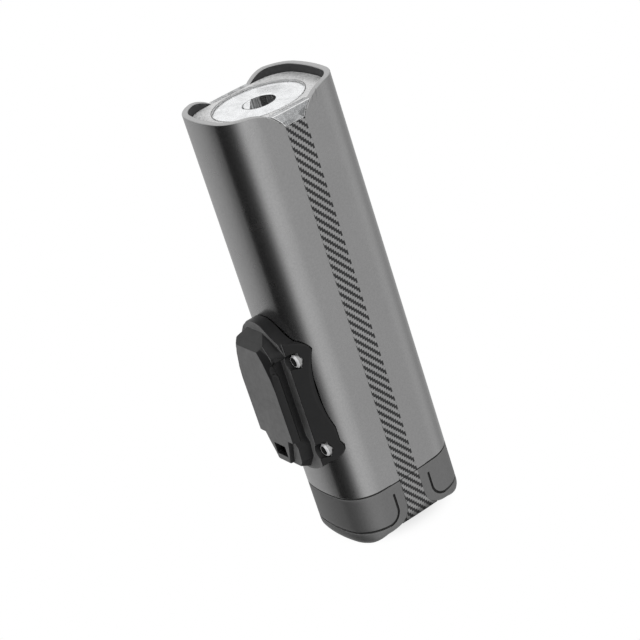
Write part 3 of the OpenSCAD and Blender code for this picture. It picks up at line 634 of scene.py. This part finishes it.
def share(name, description, value):
    return bpy.props.FloatProperty(name=name, description=description, default=value, min=0.0, max=1.0,
                                   subtype="FACTOR")


class StageSettings(PropertyGroup):
    floor_radius: length("Floor radius", "Radius of the round floor", 3.0)
    shadow_reach: length("Shadow reach", "Distance at which the floor turns plain white", 0.0165)
    room_light: share("Room light", "Strength of the even light all round", 0.9)
    lamp_power: bpy.props.FloatProperty(name="Lamp power", description="Power of the soft lamp above",
                                        default=0.12, min=0.0, unit="POWER")


class ShellSettings(PropertyGroup):
    metal: colour("Metal", "Colour of the blasted shell", 0.36, 0.359, 0.36)
    # A dark inner finish that also stands in for the shade in the recess behind the rim
    inside: colour("Inside", "Colour of the shell's inner wall", 0.05, 0.05, 0.051)
    # Painted highlight: a lighter metal for the rim's forward faces and every softened edge
    rim: colour("Rim", "Colour of the turned rim and edges", 0.42)
    edge: length("Edge", "Width of the softened edges", 0.00022)
    roughness: share("Roughness", "Roughness of the blasted metal", 0.26)


class CapSettings(PropertyGroup):
    body: colour("Cap", "Colour of the tail cap", 0.2)
    # Painted shade: the grooves' near-black colour
    groove: colour("Groove", "Colour of the groove round each lobe", 0.012)
    end_round: length("End round", "Radius of the lobes' rounded ends", 0.0027)
    edge: length("Edge", "Width of the softened edges", 0.00012)
    roughness: share("Roughness", "Roughness of the cap", 0.5)


class StripSettings(PropertyGroup):
    light_thread: colour("Light thread", "Colour of the light threads", 0.34)
    dark_thread: colour("Dark thread", "Colour of the dark threads", 0.045, 0.045, 0.046)
    cell: length("Cell", "Width of one cell of the twill", 0.000455)


class LensSettings(PropertyGroup):
    clear_radius: length("Clear radius", "Radius of the clear middle of the lens", 0.0105)
    frosted: colour("Frosted ring", "Colour of the frosted ring", 0.74)
    window: colour("Side windows", "Colour of the faceted side windows", 0.7, 0.71, 0.72)
    holder: colour("Holder", "Colour of the pale holder behind the lens", 0.72)


class MountSettings(PropertyGroup):
    plastic: colour("Plastic", "Colour of the mount's smooth sides", 0.008, 0.008, 0.0085)
    # Painted light: the end slopes and the contact face are lighter than the sides for how light falls on
    # them; the face is also grained
    slope: colour("Slopes", "Colour of the mount's end slopes", 0.02)
    face: colour("Face", "Colour of the grained contact face", 0.115)
    steel: colour("Screws", "Colour of the bright screws", 0.72, 0.72, 0.73)
    edge: length("Edge", "Width of the softened edges", 0.0002)


class TopSettings(PropertyGroup):
    button: colour("Button", "Colour of the power button", 0.02, 0.02, 0.021)
    cover: colour("Port cover", "Colour of the rubber port cover", 0.018, 0.018, 0.019)
    window: colour("Light windows", "Colour of the charge lights' windows", 0.6, 0.62, 0.62)


# Operators

class HEADLIGHT_OT_stage(Operator):
    """Make the camera, the floor, the room's light and the lamp"""
    bl_idname = "headlight.stage"
    bl_label = "Stage"

    # The camera's place and turn, from the shell's straight edges, rim, seam and tail in the photo
    PLACE = (0.3756, -0.1740, 0.2063)
    RIGHT = (0.551, 0.7844, -0.2847)
    UP = (-0.2081, 0.4595, 0.8634)
    LENS_MM = 116.865
    SENSOR_MM = 36.0

    # Grey that gloss sees of the room at each compass angle, and the heights where it turns white
    ROOM = {-180: 0.65, -162: 0.62, -153: 0.59, -147: 0.54, -142: 0.41, -137: 0.17, -133: 0.04,
            -125: 0.025, -108: 0.025, -94: 0.04, -84: 0.05, -74: 0.09, -64: 0.22, -54: 0.48, -44: 0.83,
            -34: 0.97, -20: 0.96, -4: 0.89, 8: 0.79, 20: 0.7, 34: 0.66, 46: 0.72, 58: 0.77, 72: 0.73,
            84: 0.58, 98: 0.49, 120: 0.52, 150: 0.65, 180: 0.65}
    ROOM_RISE = (-0.1, 0.4)

    # Least white of the floor, and the share of the shadow's reach that it fills
    SHADOW = 0.7
    SHADOW_CORE = 0.4

    LAMP_PLACE = (0.25, -0.2, 0.6)
    LAMP_SIZE = 0.5

    def execute(self, context):
        given = context.scene.headlight_stage
        self.camera(context)
        self.room(context, given)
        self.floor(context, given)
        self.lamp(context, given)
        context.scene.view_settings.view_transform = "Standard"
        return {"FINISHED"}

    def camera(self, context):
        data = bpy.data.cameras.new("Camera")
        data.sensor_width = self.SENSOR_MM
        data.lens = self.LENS_MM
        data.clip_start = 0.01
        data.clip_end = 20.0
        camera = bpy.data.objects.new("Camera", data)
        right = Vector(self.RIGHT)
        up = Vector(self.UP)
        back = right.cross(up).normalized()
        turned = Matrix((right.normalized(), up.normalized(), back)).transposed()
        camera.matrix_world = Matrix.Translation(self.PLACE) @ turned.to_4x4()
        context.scene.collection.objects.link(camera)
        context.scene.camera = camera

    def room(self, context, given):
        """White to the camera and through glass; gloss sees dimmer sides, as in a photo tent."""
        world = bpy.data.worlds.new("Room")
        world.use_nodes = True
        world.cycles.sampling_method = "NONE"
        context.scene.world = world
        tree = world.node_tree
        where = split(tree, add(tree, "TexCoord").outputs["Generated"])
        turn = calc("ARCTAN2", where["Y"], where["X"])
        around = ranged(turn, -math.pi, math.pi, 0.0, 1.0)
        sides = greys(around, {(degrees + 180) / 360: level for degrees, level in self.ROOM.items()})
        raised = ranged(where["Z"], *self.ROOM_RISE, 0.0, 1.0, True)
        sides = blend_colour(raised, sides, WHITE)
        path = add(tree, "LightPath").outputs
        seen = blend_colour(path["Is Glossy Ray"], grey(given.room_light), sides)
        plain = calc("MAXIMUM", path["Is Camera Ray"], path["Is Transmission Ray"])
        connect(tree.nodes["Background"], {"Color": blend_colour(plain, seen, WHITE)})

    def floor(self, context, given):
        shape = bmesh.new()
        centre = (0.0, BODY_Y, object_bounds()[0][2])
        bmesh.ops.create_circle(shape, cap_ends=True, segments=96, radius=given.floor_radius,
                                matrix=Matrix.Translation(centre))
        mesh = bpy.data.meshes.new("Floor")
        shape.to_mesh(mesh)
        shape.free()
        material, tree, shader = start_material("Floor paper")
        away = add(tree, "VectorMath", {0: here(tree), 1: centre}, operation="DISTANCE").outputs["Value"]
        fibres = ranged(use(tree, "Grain", Scale=1500.0)["Shade"], -1.0, 1.0, 0.99, 1.0)
        connect(shader, {"Base Color": shade(grey(0.98), fibres), "Roughness": 1.0,
                               "Specular IOR Level": 0.0})
        white = add(tree, "Emission", {"Color": WHITE, "Strength": 1.0})
        reach = given.shadow_reach
        far = ranged(away, self.SHADOW_CORE * reach, reach, self.SHADOW, 1.0, True)
        seen = times(far, add(tree, "LightPath").outputs["Is Camera Ray"])
        mixed = add(tree, "MixShader", {0: seen, 1: shader.outputs[0], 2: white.outputs[0]})
        connect(tree.nodes["Material Output"], {"Surface": mixed.outputs[0]})
        mesh.materials.append(material)
        floor = bpy.data.objects.new("Floor", mesh)
        floor.visible_glossy = False
        floor.visible_transmission = False
        context.scene.collection.objects.link(floor)
        floor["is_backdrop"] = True

    def lamp(self, context, given):
        data = bpy.data.lights.new("Soft lamp", "AREA")
        data.shape = "DISK"
        data.size = self.LAMP_SIZE
        data.energy = given.lamp_power
        lamp = bpy.data.objects.new("Soft lamp", data)
        lamp.location = self.LAMP_PLACE
        lamp.rotation_euler = (Vector((0, BODY_Y, 0)) - lamp.location).to_track_quat("-Z", "Y").to_euler()
        lamp.visible_glossy = False
        context.scene.collection.objects.link(lamp)


class HEADLIGHT_OT_shell(Operator):
    """Make the blasted metal shell with its softened rim"""
    bl_idname = "headlight.shell"
    bl_label = "Shell"

    # The inner wall, whose dark finish is also painted shade: its least depth under the section, and how
    # far its faces look inwards
    WALL = 0.0012
    INWARD = -0.0002

    # The rim, whose forward faces get a lighter metal as painted highlight: its reach along the axis, and
    # how far its faces look forwards
    RIM_DEPTH = 0.011
    FORWARD = 0.3

    # The strips' pockets, and the share of the softened edge that they get
    POCKET_HALF = 0.0055
    POCKET_TOP = 0.064
    POCKET_EDGE = 0.15
    RINGS = 20

    def execute(self, context):
        given = context.scene.headlight_shell
        metal = finish("Blasted metal", given.metal, given.roughness, metallic=1.0, grain=5200.0,
                       relief=0.0000035, speck=0.05, mottle=0.02, smudge=0.015, wear=0.05)
        # Painted shade: the inner wall gets a dark finish, darker than the outer metal, for the shade
        # behind the rim
        inside = finish("Shell inner wall painted shade", given.inside, 0.6, metallic=0.3, relief=0.000004)
        # Painted highlight on the rim's forward faces and, through the bevel, on every softened edge
        rim = finish("Rim painted highlight", given.rim, 0.3, metallic=1.0, grain=5200.0, relief=0.000002, speck=0.05)
        shape = overlap(node_shape("body_shell"), self.tube())
        shape.normal_update()
        for face in shape.faces:
            middle = face.calc_center_median()
            outward = Vector((middle.x, middle.y - BODY_Y, 0.0)).dot(face.normal)
            if outward < self.INWARD and in_section(middle.x, middle.y - BODY_Y, self.WALL):
                face.material_index = 1
            elif face.normal.z > self.FORWARD and middle.z > RIM_Z - self.RIM_DEPTH:
                face.material_index = 2
        weigh_edges(shape, self.edge_share)
        shell = new_piece("shell_piece", shape, [metal, inside, rim])
        soften(shell, given.edge, weighed=True)
        shell.modifiers["Soft edges"].material = 2
        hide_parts("body_shell")
        return {"FINISHED"}

    def edge_share(self, spot):
        """The share of the softened edge at a point: little at the strips' pockets."""
        pocket = abs(spot.y - BODY_Y) < self.POCKET_HALF and spot.z < self.POCKET_TOP
        return self.POCKET_EDGE if pocket else 1.0

    def tube(self):
        """A closed body of the section, a hair narrower than the shell, with evenly spaced loops."""
        lo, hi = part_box("body_shell")
        low = lo.z - OVERHANG
        step = (hi.z + OVERHANG - low) / self.RINGS
        outline = section_loop(HAIR, low, SECTION_STEPS)
        shape = bmesh.new()
        levels = [[(x, y, low + i * step) for x, y, z in outline] for i in range(self.RINGS + 1)]
        bridge(shape, [[(0.0, BODY_Y, low)], *levels, [(0.0, BODY_Y, low + self.RINGS * step)]])
        return face_out(shape)


class HEADLIGHT_OT_cap(Operator):
    """Make the tail cap with its two rounded lobes and their grooves, painted dark as shade"""
    bl_idname = "headlight.cap"
    bl_label = "Tail cap"

    # The grooves' depths under the section, their least height over the axis, and their reach along it
    GROOVE_DEPTHS = (0.00006, 0.00042)
    GROOVE_Y = 0.0045
    GROOVE_Z = -0.0315
    GROOVE_HALF = 0.0048

    # The lobe's tip and the recess over the axis, the rise between them and how square its curve is
    TIP_Y = 0.0122
    TIP_TO_RECESS = 0.007
    RISE = 0.0028
    CURVE = 1.2

    # Radius of the end beside the recess, and the heights over which it grows to the full one
    LEAST_ROUND = 0.0003
    ROUND_FROM = 0.0052
    ROUND_SPAN = 0.0043

    def execute(self, context):
        given = context.scene.headlight_cap
        metal = finish("Cap metal", given.body, given.roughness, metallic=0.85, grain=5200.0,
                       relief=0.000004, speck=0.05, mottle=0.03, smudge=0.02, wear=0.05)
        # Painted shade: the grooves' faces get a near-white finish's opposite, a near-black one, for the
        # shade inside them
        groove = finish("Cap groove painted shade", given.groove, 0.6, metallic=0.3, relief=0.000004)
        lo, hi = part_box("tail_cap")
        shape = overlap(node_shape("tail_cap"), self.rounded_body(lo.z, hi.z, given.end_round))
        least, most = self.GROOVE_DEPTHS
        for face in shape.faces:
            middle = face.calc_center_median()
            x = middle.x
            y = middle.y - BODY_Y
            near = in_section(x, y, least) and not in_section(x, y, most)
            if near and abs(y) > self.GROOVE_Y and abs(middle.z - self.GROOVE_Z) < self.GROOVE_HALF:
                face.material_index = 1
        weigh_edges(shape, lambda spot: 1.0)
        cap = new_piece("tail_cap_piece", shape, [metal, groove])
        soften(cap, given.edge, weighed=True)
        self.hold_inside(cap, lo.x, hi.x)
        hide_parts("tail_cap")
        return {"FINISHED"}

    def hold_inside(self, cap, low, high):
        """Applies the bevel and brings any point that it pushed past the sides back to them."""
        graph = bpy.context.evaluated_depsgraph_get()
        rounded = bpy.data.meshes.new_from_object(cap.evaluated_get(graph), depsgraph=graph,
                                                  preserve_all_data_layers=True)
        cap.modifiers.clear()
        for corner in rounded.vertices:
            corner.co.x = min(max(corner.co.x, low), high)
        cap.data = rounded

    def lift(self, y):
        """How far the end rises from the lobes' tips towards the recess between them."""
        reach = min(max((self.TIP_Y - abs(y - BODY_Y)) / self.TIP_TO_RECESS, 0.0), 1.0)
        return self.RISE * (1 - (1 - reach ** self.CURVE) ** (1 / self.CURVE))

    def rounded_body(self, low, high, end_round):
        """A closed body of the section whose tail end has two rounded lobes, sharper beside the recess."""
        top = high + OVERHANG
        low += 2 * HAIR
        outer = section_loop(HAIR, low, SECTION_STEPS)
        inner = section_loop(HAIR + end_round, low, SECTION_STEPS)
        rounds = []
        for x, y, z in outer:
            part = min(max((abs(y - BODY_Y) - self.ROUND_FROM) / self.ROUND_SPAN, 0.0), 1.0)
            rounds.append(self.LEAST_ROUND + (end_round - self.LEAST_ROUND) * part)
        start = [low + size + self.lift(y) for (x, y, z), size in zip(outer, rounds)]
        loops = [[(0.0, BODY_Y, top)]]
        straights = 6
        for i in range(straights):
            ring = [(x, y, top + (begin - top) * i / straights) for (x, y, z), begin in zip(outer, start)]
            loops.append(ring)
        turns = 14
        for i in range(turns + 1):
            turn = math.pi / 2 * i / turns
            ring = []
            for (x, y, z), (ix, iy, iz), size in zip(outer, inner, rounds):
                part = size / end_round * (1 - math.cos(turn))
                across = y + (iy - y) * part
                height = low + size * (1 - math.sin(turn)) + self.lift(across)
                ring.append((x + (ix - x) * part, across, height))
            loops.append(ring)
        last = loops[-1]
        shrinks = 20
        for i in range(1, shrinks):
            part = 1 - i / shrinks
            ring = [(x * part, BODY_Y + (y - BODY_Y) * part) for x, y, z in last]
            loops.append([(x, y, low + self.lift(y)) for x, y in ring])
        loops.append([(0.0, BODY_Y, low + self.lift(BODY_Y))])
        shape = bmesh.new()
        bridge(shape, loops)
        return face_out(shape)


class HEADLIGHT_OT_strips(Operator):
    """Make the two twill inlays along the sides"""
    bl_idname = "headlight.strips"
    bl_label = "Side strips"

    # How far the strip fills the gaps beside it and over it
    FILL_SIDES = 0.000095
    FILL_TOP = 0.00009
    TOP_FROM = 0.062

    def execute(self, context):
        given = context.scene.headlight_strips
        material = twill(given)
        for side in ("right", "left"):
            node = "side_strip_" + side
            shape = node_shape(node)
            for corner in shape.verts:
                if abs(corner.co.y - BODY_Y) > 0.0005:
                    corner.co.y += math.copysign(self.FILL_SIDES, corner.co.y - BODY_Y)
                if corner.co.z > self.TOP_FROM:
                    corner.co.z += self.FILL_TOP
            strip = new_piece("strip_%s_piece" % side, shape, [material])
            soften(strip, 0.00003, 1)
            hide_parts(node)
        return {"FINISHED"}


class HEADLIGHT_OT_lens(Operator):
    """Make the clear lens, the frosted ring round it, its side windows and the holder behind it"""
    bl_idname = "headlight.lens"
    bl_label = "Front lens"

    DISC = 0.0004
    RING = 0.0015
    WALL = 0.0015
    EDGE = 0.00012
    BREAK = 0.00004
    JOINT = 0.00012
    JOINT_HEIGHT = 0.00025

    # The scoop in each side wall: half its length at the rim, its flank's radius and centre
    SCOOP_HALF = 0.011
    SCOOP_R = 0.0094
    SCOOP_Z = RIM_Z - 0.00924
    WINDOW_INSET = 0.00006
    WINDOW_DEPTH = 0.002

    def execute(self, context):
        given = context.scene.headlight_lens
        lo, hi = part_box("front_lens")
        shape = bmesh.new()
        self.disc(shape, hi.z, given.clear_radius)
        for side in (-1, 1):
            self.window(shape, side, lo, hi)
        close(shape)
        joint = finish("Lens joint", grey(0.1), 0.5)
        # Painted highlight: the softened edges of the lens, the ring and the windows get a near-white
        # finish
        bright = finish("Lens edge painted highlight", grey(0.95), 0.3, specular=0.6)
        lens = new_piece("front_lens_piece", shape,
                         [clear_glass(), frosted(given), joint, faceted(given), bright])
        soften(lens, self.EDGE, 2, 40.0)
        lens.modifiers["Soft edges"].material = 4
        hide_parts("front_lens")
        holder = finish("Pale holder", given.holder, 0.45, grain=3400.0, relief=0.000006)
        dress("optic_holder", holder)
        return {"FINISHED"}

    def disc(self, shape, top, radius):
        """The clear disc, the frosted ring round it and the short joint between them."""
        broken = top - self.BREAK
        lathe(shape, [(0.0, top), (radius - self.BREAK, top), (radius, broken), (radius, top - self.DISC),
                      (0.0, top - self.DISC)])
        steps = 192
        inner = radius + self.JOINT
        under = top - self.RING
        outer = [(self.WALL + self.EDGE, top), (self.WALL, top - self.EDGE), (self.WALL, under)]
        bridge(shape, [circle(inner, under, steps), circle(inner, broken, steps),
                       circle(inner + self.BREAK, top, steps),
                       *[section_loop(inset, z, steps) for inset, z in outer],
                       circle(inner, under, steps)], 1)
        low = top - self.JOINT_HEIGHT
        high = top - 3 * HAIR
        near = radius + HAIR
        far = inner - HAIR
        lathe(shape, [(near, low), (near, high), (far, high), (far, low), (near, low)], 2)

    def window(self, shape, side, lo, hi):
        """A clear block with curved flanks that fills the scoop in one side wall, flush with the shell."""
        low = lo.z - 0.0001
        loops = []
        for i in range(13):
            z = hi.z + (low - hi.z) * i / 12
            half = self.SCOOP_HALF - math.sqrt(self.SCOOP_R ** 2 - (z - self.SCOOP_Z) ** 2)
            rows = [half * (k / 8 - 1) for k in range(17)]
            outer = [(side * (side_reach(y) - self.WINDOW_INSET), BODY_Y + y, z) for y in rows]
            back = side * (HALF_W - self.WINDOW_DEPTH)
            loops.append(outer + [(back, BODY_Y + y, z) for y in reversed(rows)])
        rings = bridge(shape, loops, 3)
        for ring in (rings[0], rings[-1]):
            shape.faces.new(ring).material_index = 3


class HEADLIGHT_OT_optic(Operator):
    """Make the silvered optic with its rings and its deep well"""
    bl_idname = "headlight.optic"
    bl_label = "Optic"

    GAP_TO_LENS = 0.00042

    # Outlines in millimetres, as radius and depth: the face and the well under the lens, the cone behind
    FACE = [(3.8, 0.12), (3.88, 0.03), (4.05, 0.0), (4.6, 0.02), (5.5, 0.06), (6.5, 0.1), (7.6, 0.12),
            (8.6, 0.11), (9.0, 0.1), (9.15, 0.08), (9.3, 0.06), (9.45, 0.06), (9.6, 0.05), (9.9, 0.03),
            (10.3, 0.02), (10.42, 0.05), (10.43, 1.15)]
    CONE = [(10.49, 0.1), (10.49, 1.15), (10.0, 1.2), (9.0, 1.9), (8.0, 3.0), (6.6, 4.4), (5.0, 6.2),
            (4.0, 7.65), (2.9, 7.68), (2.9, 4.8), (0.0, 4.8)]
    WELL = [(3.8, 0.12), (3.79, 0.4), (3.78, 1.6), (3.77, 2.8), (3.76, 3.9)]
    WELL_FLOOR = [(3.76, 3.9), (3.4, 4.0), (2.6, 3.9), (1.6, 3.75), (0.8, 3.68), (0.0, 3.66)]

    # The ledge over one end of the well, its first and last angle, and the depths of its two faces
    LEDGE_R = 0.00345
    LEDGE_FROM = 180
    LEDGE_TO = 290
    LEDGE_DEPTHS = (0.00005, 0.0008)

    def execute(self, context):
        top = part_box("front_lens")[1].z - self.GAP_TO_LENS
        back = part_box("optic")[1].z
        shape = bmesh.new()
        outline = [(radius * MM, top - depth * MM) for radius, depth in self.FACE]
        outline += [(radius * MM, back - depth * MM) for radius, depth in self.CONE]
        lathe(shape, outline)
        for material, part in ((1, self.WELL), (2, self.WELL_FLOOR)):
            lathe(shape, [(radius * MM, top - depth * MM) for radius, depth in part], material)
        self.ledge(shape, top)
        close(shape)
        pale = finish("Well floor", (0.85, 0.86, 0.86, 1.0), 0.3, grain=1800.0, relief=0.000004, coat=0.5)
        optic = new_piece("optic_piece", shape, [silver(), well_wall_painted_reflection(), pale])
        even_shading(optic)
        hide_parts("optic")
        return {"FINISHED"}

    def ledge(self, shape, top):
        """A flat bright ledge that covers one end of the well, with a narrow gap at its rim."""
        span = self.LEDGE_TO - self.LEDGE_FROM
        arc = [math.radians(self.LEDGE_FROM + span * i / 24) for i in range(25)]
        outline = [(self.LEDGE_R * math.cos(turn), BODY_Y + self.LEDGE_R * math.sin(turn)) for turn in arc]
        levels = [[(x, y, top - depth) for x, y in outline] for depth in self.LEDGE_DEPTHS]
        bridge(shape, levels)
        for level in levels:
            shape.faces.new([shape.verts.new(point) for point in level])


class HEADLIGHT_OT_mount(Operator):
    """Make the black mount and its four bright screws"""
    bl_idname = "headlight.mount"
    bl_label = "Mount"

    HEAD_R = 0.0016

    # Least and most of a face's normal for the grained contact face and for the end slopes, both painted
    # lighter than the sides for how light falls on them
    FACE_NORMAL_Y = -0.93
    SLOPE_NORMAL_Y = -0.2
    SLOPE_NORMAL_Z = 0.45

    def execute(self, context):
        given = context.scene.headlight_mount
        black = plastic("Mount sides", given.plastic, 0.4, 2400.0, 0.000006, 0.3)
        slope = plastic("Mount slopes painted lighter", given.slope, 0.5, 2000.0, 0.00001, 0.4)
        grained = plastic("Mount face grained and painted lighter", given.face, 0.6, 1500.0, 0.000022, 0.5)
        shape = node_shape("mount_plate")
        # Painted light: faces looking towards -Y get the lightest black and the end slopes a middle one,
        # by the way they face
        for face in shape.faces:
            if face.normal.y < self.FACE_NORMAL_Y:
                face.material_index = 2
            elif face.normal.y < self.SLOPE_NORMAL_Y and abs(face.normal.z) > self.SLOPE_NORMAL_Z:
                face.material_index = 1
        mount = new_piece("mount_plate_piece", shape, [black, slope, grained])
        soften(mount, given.edge)
        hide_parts("mount_plate")
        steel = finish("Bright steel", given.steel, 0.3, metallic=0.4, grain=5000.0, relief=0.000001,
                       speck=0.02, mottle=0.03)
        # Painted shade: the socket is near black and the head's side and shank a darker steel than its
        # face, as light falls on one steel
        dark = finish("Screw socket painted shade", grey(0.03), 0.5, metallic=0.5, speck=0.3, grain=4000.0)
        flank = finish("Screw flank painted shade", grey(0.42), 0.35, metallic=0.8, speck=0.2, grain=4000.0)
        lo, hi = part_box("mount_screws")
        for i, (sx, sz) in enumerate(((1, 1), (1, -1), (-1, 1), (-1, -1))):
            shape = self.screw((hi.x - self.HEAD_R) * sx, (hi.z - self.HEAD_R) * sz, lo.y, hi.y)
            screw = new_piece("mount_screw_%d" % (i + 1), shape, [steel, dark, flank])
            soften(screw, 0.00005, 2, 35.0)
            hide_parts("mount_screws")
        return {"FINISHED"}

    def screw(self, x, z, head_y, tip_y):
        """A bevelled head with a deep socket, facing -Y, and its shank."""
        socket_r = 0.00108
        socket_depth = 0.0009
        head_depth = 0.00115
        shank_r = 0.001
        reach = tip_y - head_y
        outline = [(0.0, socket_depth), (socket_r, socket_depth), (socket_r, 0.00004), (0.00112, 0.0),
                   (0.0012, 0.0), (self.HEAD_R - 0.00003, 0.00036), (self.HEAD_R, 0.00042),
                   (self.HEAD_R, head_depth), (shank_r, head_depth), (shank_r, reach), (0.0, reach)]
        # Socket in painted shade, face in the bright steel, side, underside and shank in painted shade
        materials = [1, 1, 0, 0, 0, 0, 2, 2, 2, 2]
        shape = bmesh.new()
        for first, second, material in zip(outline, outline[1:], materials):
            loops = [[(x + across, head_y + depth, z + up) for across, up in round_loop(radius, 36)]
                     for radius, depth in (first, second)]
            bridge(shape, loops, material)
        return close(shape)


class HEADLIGHT_OT_top(Operator):
    """Make the power button, the charge lights' windows and the port cover"""
    bl_idname = "headlight.top"
    bl_label = "Button, lights and cover"

    def execute(self, context):
        given = context.scene.headlight_top
        rubber = finish("Button plastic", given.button, 0.5, grain=2600.0, speck=0.1)
        shape = node_shape("power_button")
        button = new_piece("power_button_piece", shape, [rubber], "button")
        soften(button, 0.00025, 3)
        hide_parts("power_button")
        soft = finish("Cover rubber", given.cover, 0.62, grain=2200.0, relief=0.000012, speck=0.12)
        cover = new_piece("port_cover_piece", node_shape("port_cover"), [soft], "cover")
        soften(cover, 0.00015)
        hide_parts("port_cover")
        window = finish("Light window", given.window, 0.3, relief=0.000003)
        dress("light_pipe", window)
        return {"FINISHED"}


# Inner pieces: the finish's name, the nodes that have it, its colour, its roughness and the rest
INNER = [
    ("Seal rubber", ["lens_gasket", "tail_gasket", "button_seal"], grey(0.015), 0.7, {"speck": 0.1}),
    ("Emitter", ["led_emitter"], (0.85, 0.68, 0.12, 1.0), 0.35, {"grain": 9000.0, "relief": 0.000004}),
    ("Lamp board", ["led_board"], (0.82, 0.83, 0.8, 1.0), 0.4, {"coat": 0.4}),
    ("Bare aluminium", ["heat_sink"], (0.62, 0.63, 0.64, 1.0), 0.35,
     {"metallic": 1.0, "grain": 1600.0, "wear": 0.2, "worn": grey(0.8)}),
    ("Small screw steel", ["front_screws", "board_screws", "usb_board_screws", "cap_screws"],
     (0.5, 0.5, 0.51, 1.0), 0.28, {"metallic": 1.0, "wear": 0.3}),
    ("Wire sleeve", ["led_wires"], (0.5, 0.03, 0.025, 1.0), 0.45, {}),
    ("Cell sleeve", ["battery_cell"], (0.03, 0.16, 0.32, 1.0), 0.3, {"relief": 0.00002, "coat": 0.5}),
    ("Contact metal", ["front_contact", "rear_contact"], (0.66, 0.6, 0.46, 1.0), 0.3, {"metallic": 1.0}),
    ("Pad foam", ["front_cell_pad", "rear_cell_pad", "cell_cushion"], (0.06, 0.06, 0.065, 1.0), 0.95,
     {"grain": 1500.0, "relief": 0.00006, "speck": 0.3}),
    ("Frame plastic", ["inner_frame"], (0.03, 0.03, 0.032, 1.0), 0.5, {"wear": 0.1}),
    ("Board", ["main_board", "usb_board"], (0.01, 0.09, 0.035, 1.0), 0.3, {"coat": 0.5, "speck": 0.15}),
    ("Ferrite", ["power_inductor"], (0.05, 0.05, 0.052, 1.0), 0.7, {"speck": 0.2}),
    ("Chip plastic", ["control_chips", "tact_switch", "switch_plunger"], (0.02, 0.02, 0.021, 1.0), 0.5,
     {"speck": 0.15}),
    ("Signal light", ["level_lights"], (0.8, 0.82, 0.78, 1.0), 0.25, {"coat": 0.6}),
    ("Socket metal", ["usb_socket"], (0.6, 0.6, 0.61, 1.0), 0.25, {"metallic": 1.0}),
    ("Flex film", ["board_flex"], (0.45, 0.2, 0.03, 1.0), 0.3, {"coat": 0.3}),
]


class HEADLIGHT_OT_inside(Operator):
    """Give every inner piece the finish of what it is made of"""
    bl_idname = "headlight.inside"
    bl_label = "Inner pieces"

    def execute(self, context):
        for name, nodes, tint, roughness, values in INNER:
            material = finish(name, tint, roughness, **values)
            for node in nodes:
                dress(node, material)
        return {"FINISHED"}


class HEADLIGHT_PT_pieces(bpy.types.Panel):
    """Lists the light's pieces and their settings"""
    bl_idname = "HEADLIGHT_PT_pieces"
    bl_label = "Bike headlight"
    bl_space_type = "VIEW_3D"
    bl_region_type = "UI"
    bl_category = "Headlight"

    def draw(self, context):
        for group, kind, operators in PANEL_ROWS:
            box = self.layout.box()
            for operator in operators:
                box.operator(operator.bl_idname)
            if group:
                settings = getattr(context.scene, group)
                for key in kind.__annotations__:
                    box.prop(settings, key)


PANEL_ROWS = [
    ("headlight_stage", StageSettings, [HEADLIGHT_OT_stage]),
    ("headlight_shell", ShellSettings, [HEADLIGHT_OT_shell]),
    ("headlight_cap", CapSettings, [HEADLIGHT_OT_cap]),
    ("headlight_strips", StripSettings, [HEADLIGHT_OT_strips]),
    ("headlight_lens", LensSettings, [HEADLIGHT_OT_lens, HEADLIGHT_OT_optic]),
    ("headlight_mount", MountSettings, [HEADLIGHT_OT_mount]),
    ("headlight_top", TopSettings, [HEADLIGHT_OT_top]),
    (None, None, [HEADLIGHT_OT_inside]),
]

SETTINGS = {group: kind for group, kind, operators in PANEL_ROWS if group}
OPERATORS = [operator for group, kind, operators in PANEL_ROWS for operator in operators]


def register():
    for kind in [*SETTINGS.values(), *OPERATORS, HEADLIGHT_PT_pieces]:
        bpy.utils.register_class(kind)
    for name, kind in SETTINGS.items():
        setattr(bpy.types.Scene, name, bpy.props.PointerProperty(type=kind))


def unregister():
    for name in SETTINGS:
        delattr(bpy.types.Scene, name)
    for kind in [HEADLIGHT_PT_pieces, *reversed(OPERATORS), *reversed(list(SETTINGS.values()))]:
        bpy.utils.unregister_class(kind)


def main():
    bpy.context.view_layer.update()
    register()
    build_effects()
    for operator in OPERATORS:
        group, name = operator.bl_idname.split(".")
        getattr(getattr(bpy.ops, group), name)()


if __name__ == "__main__":
    main()
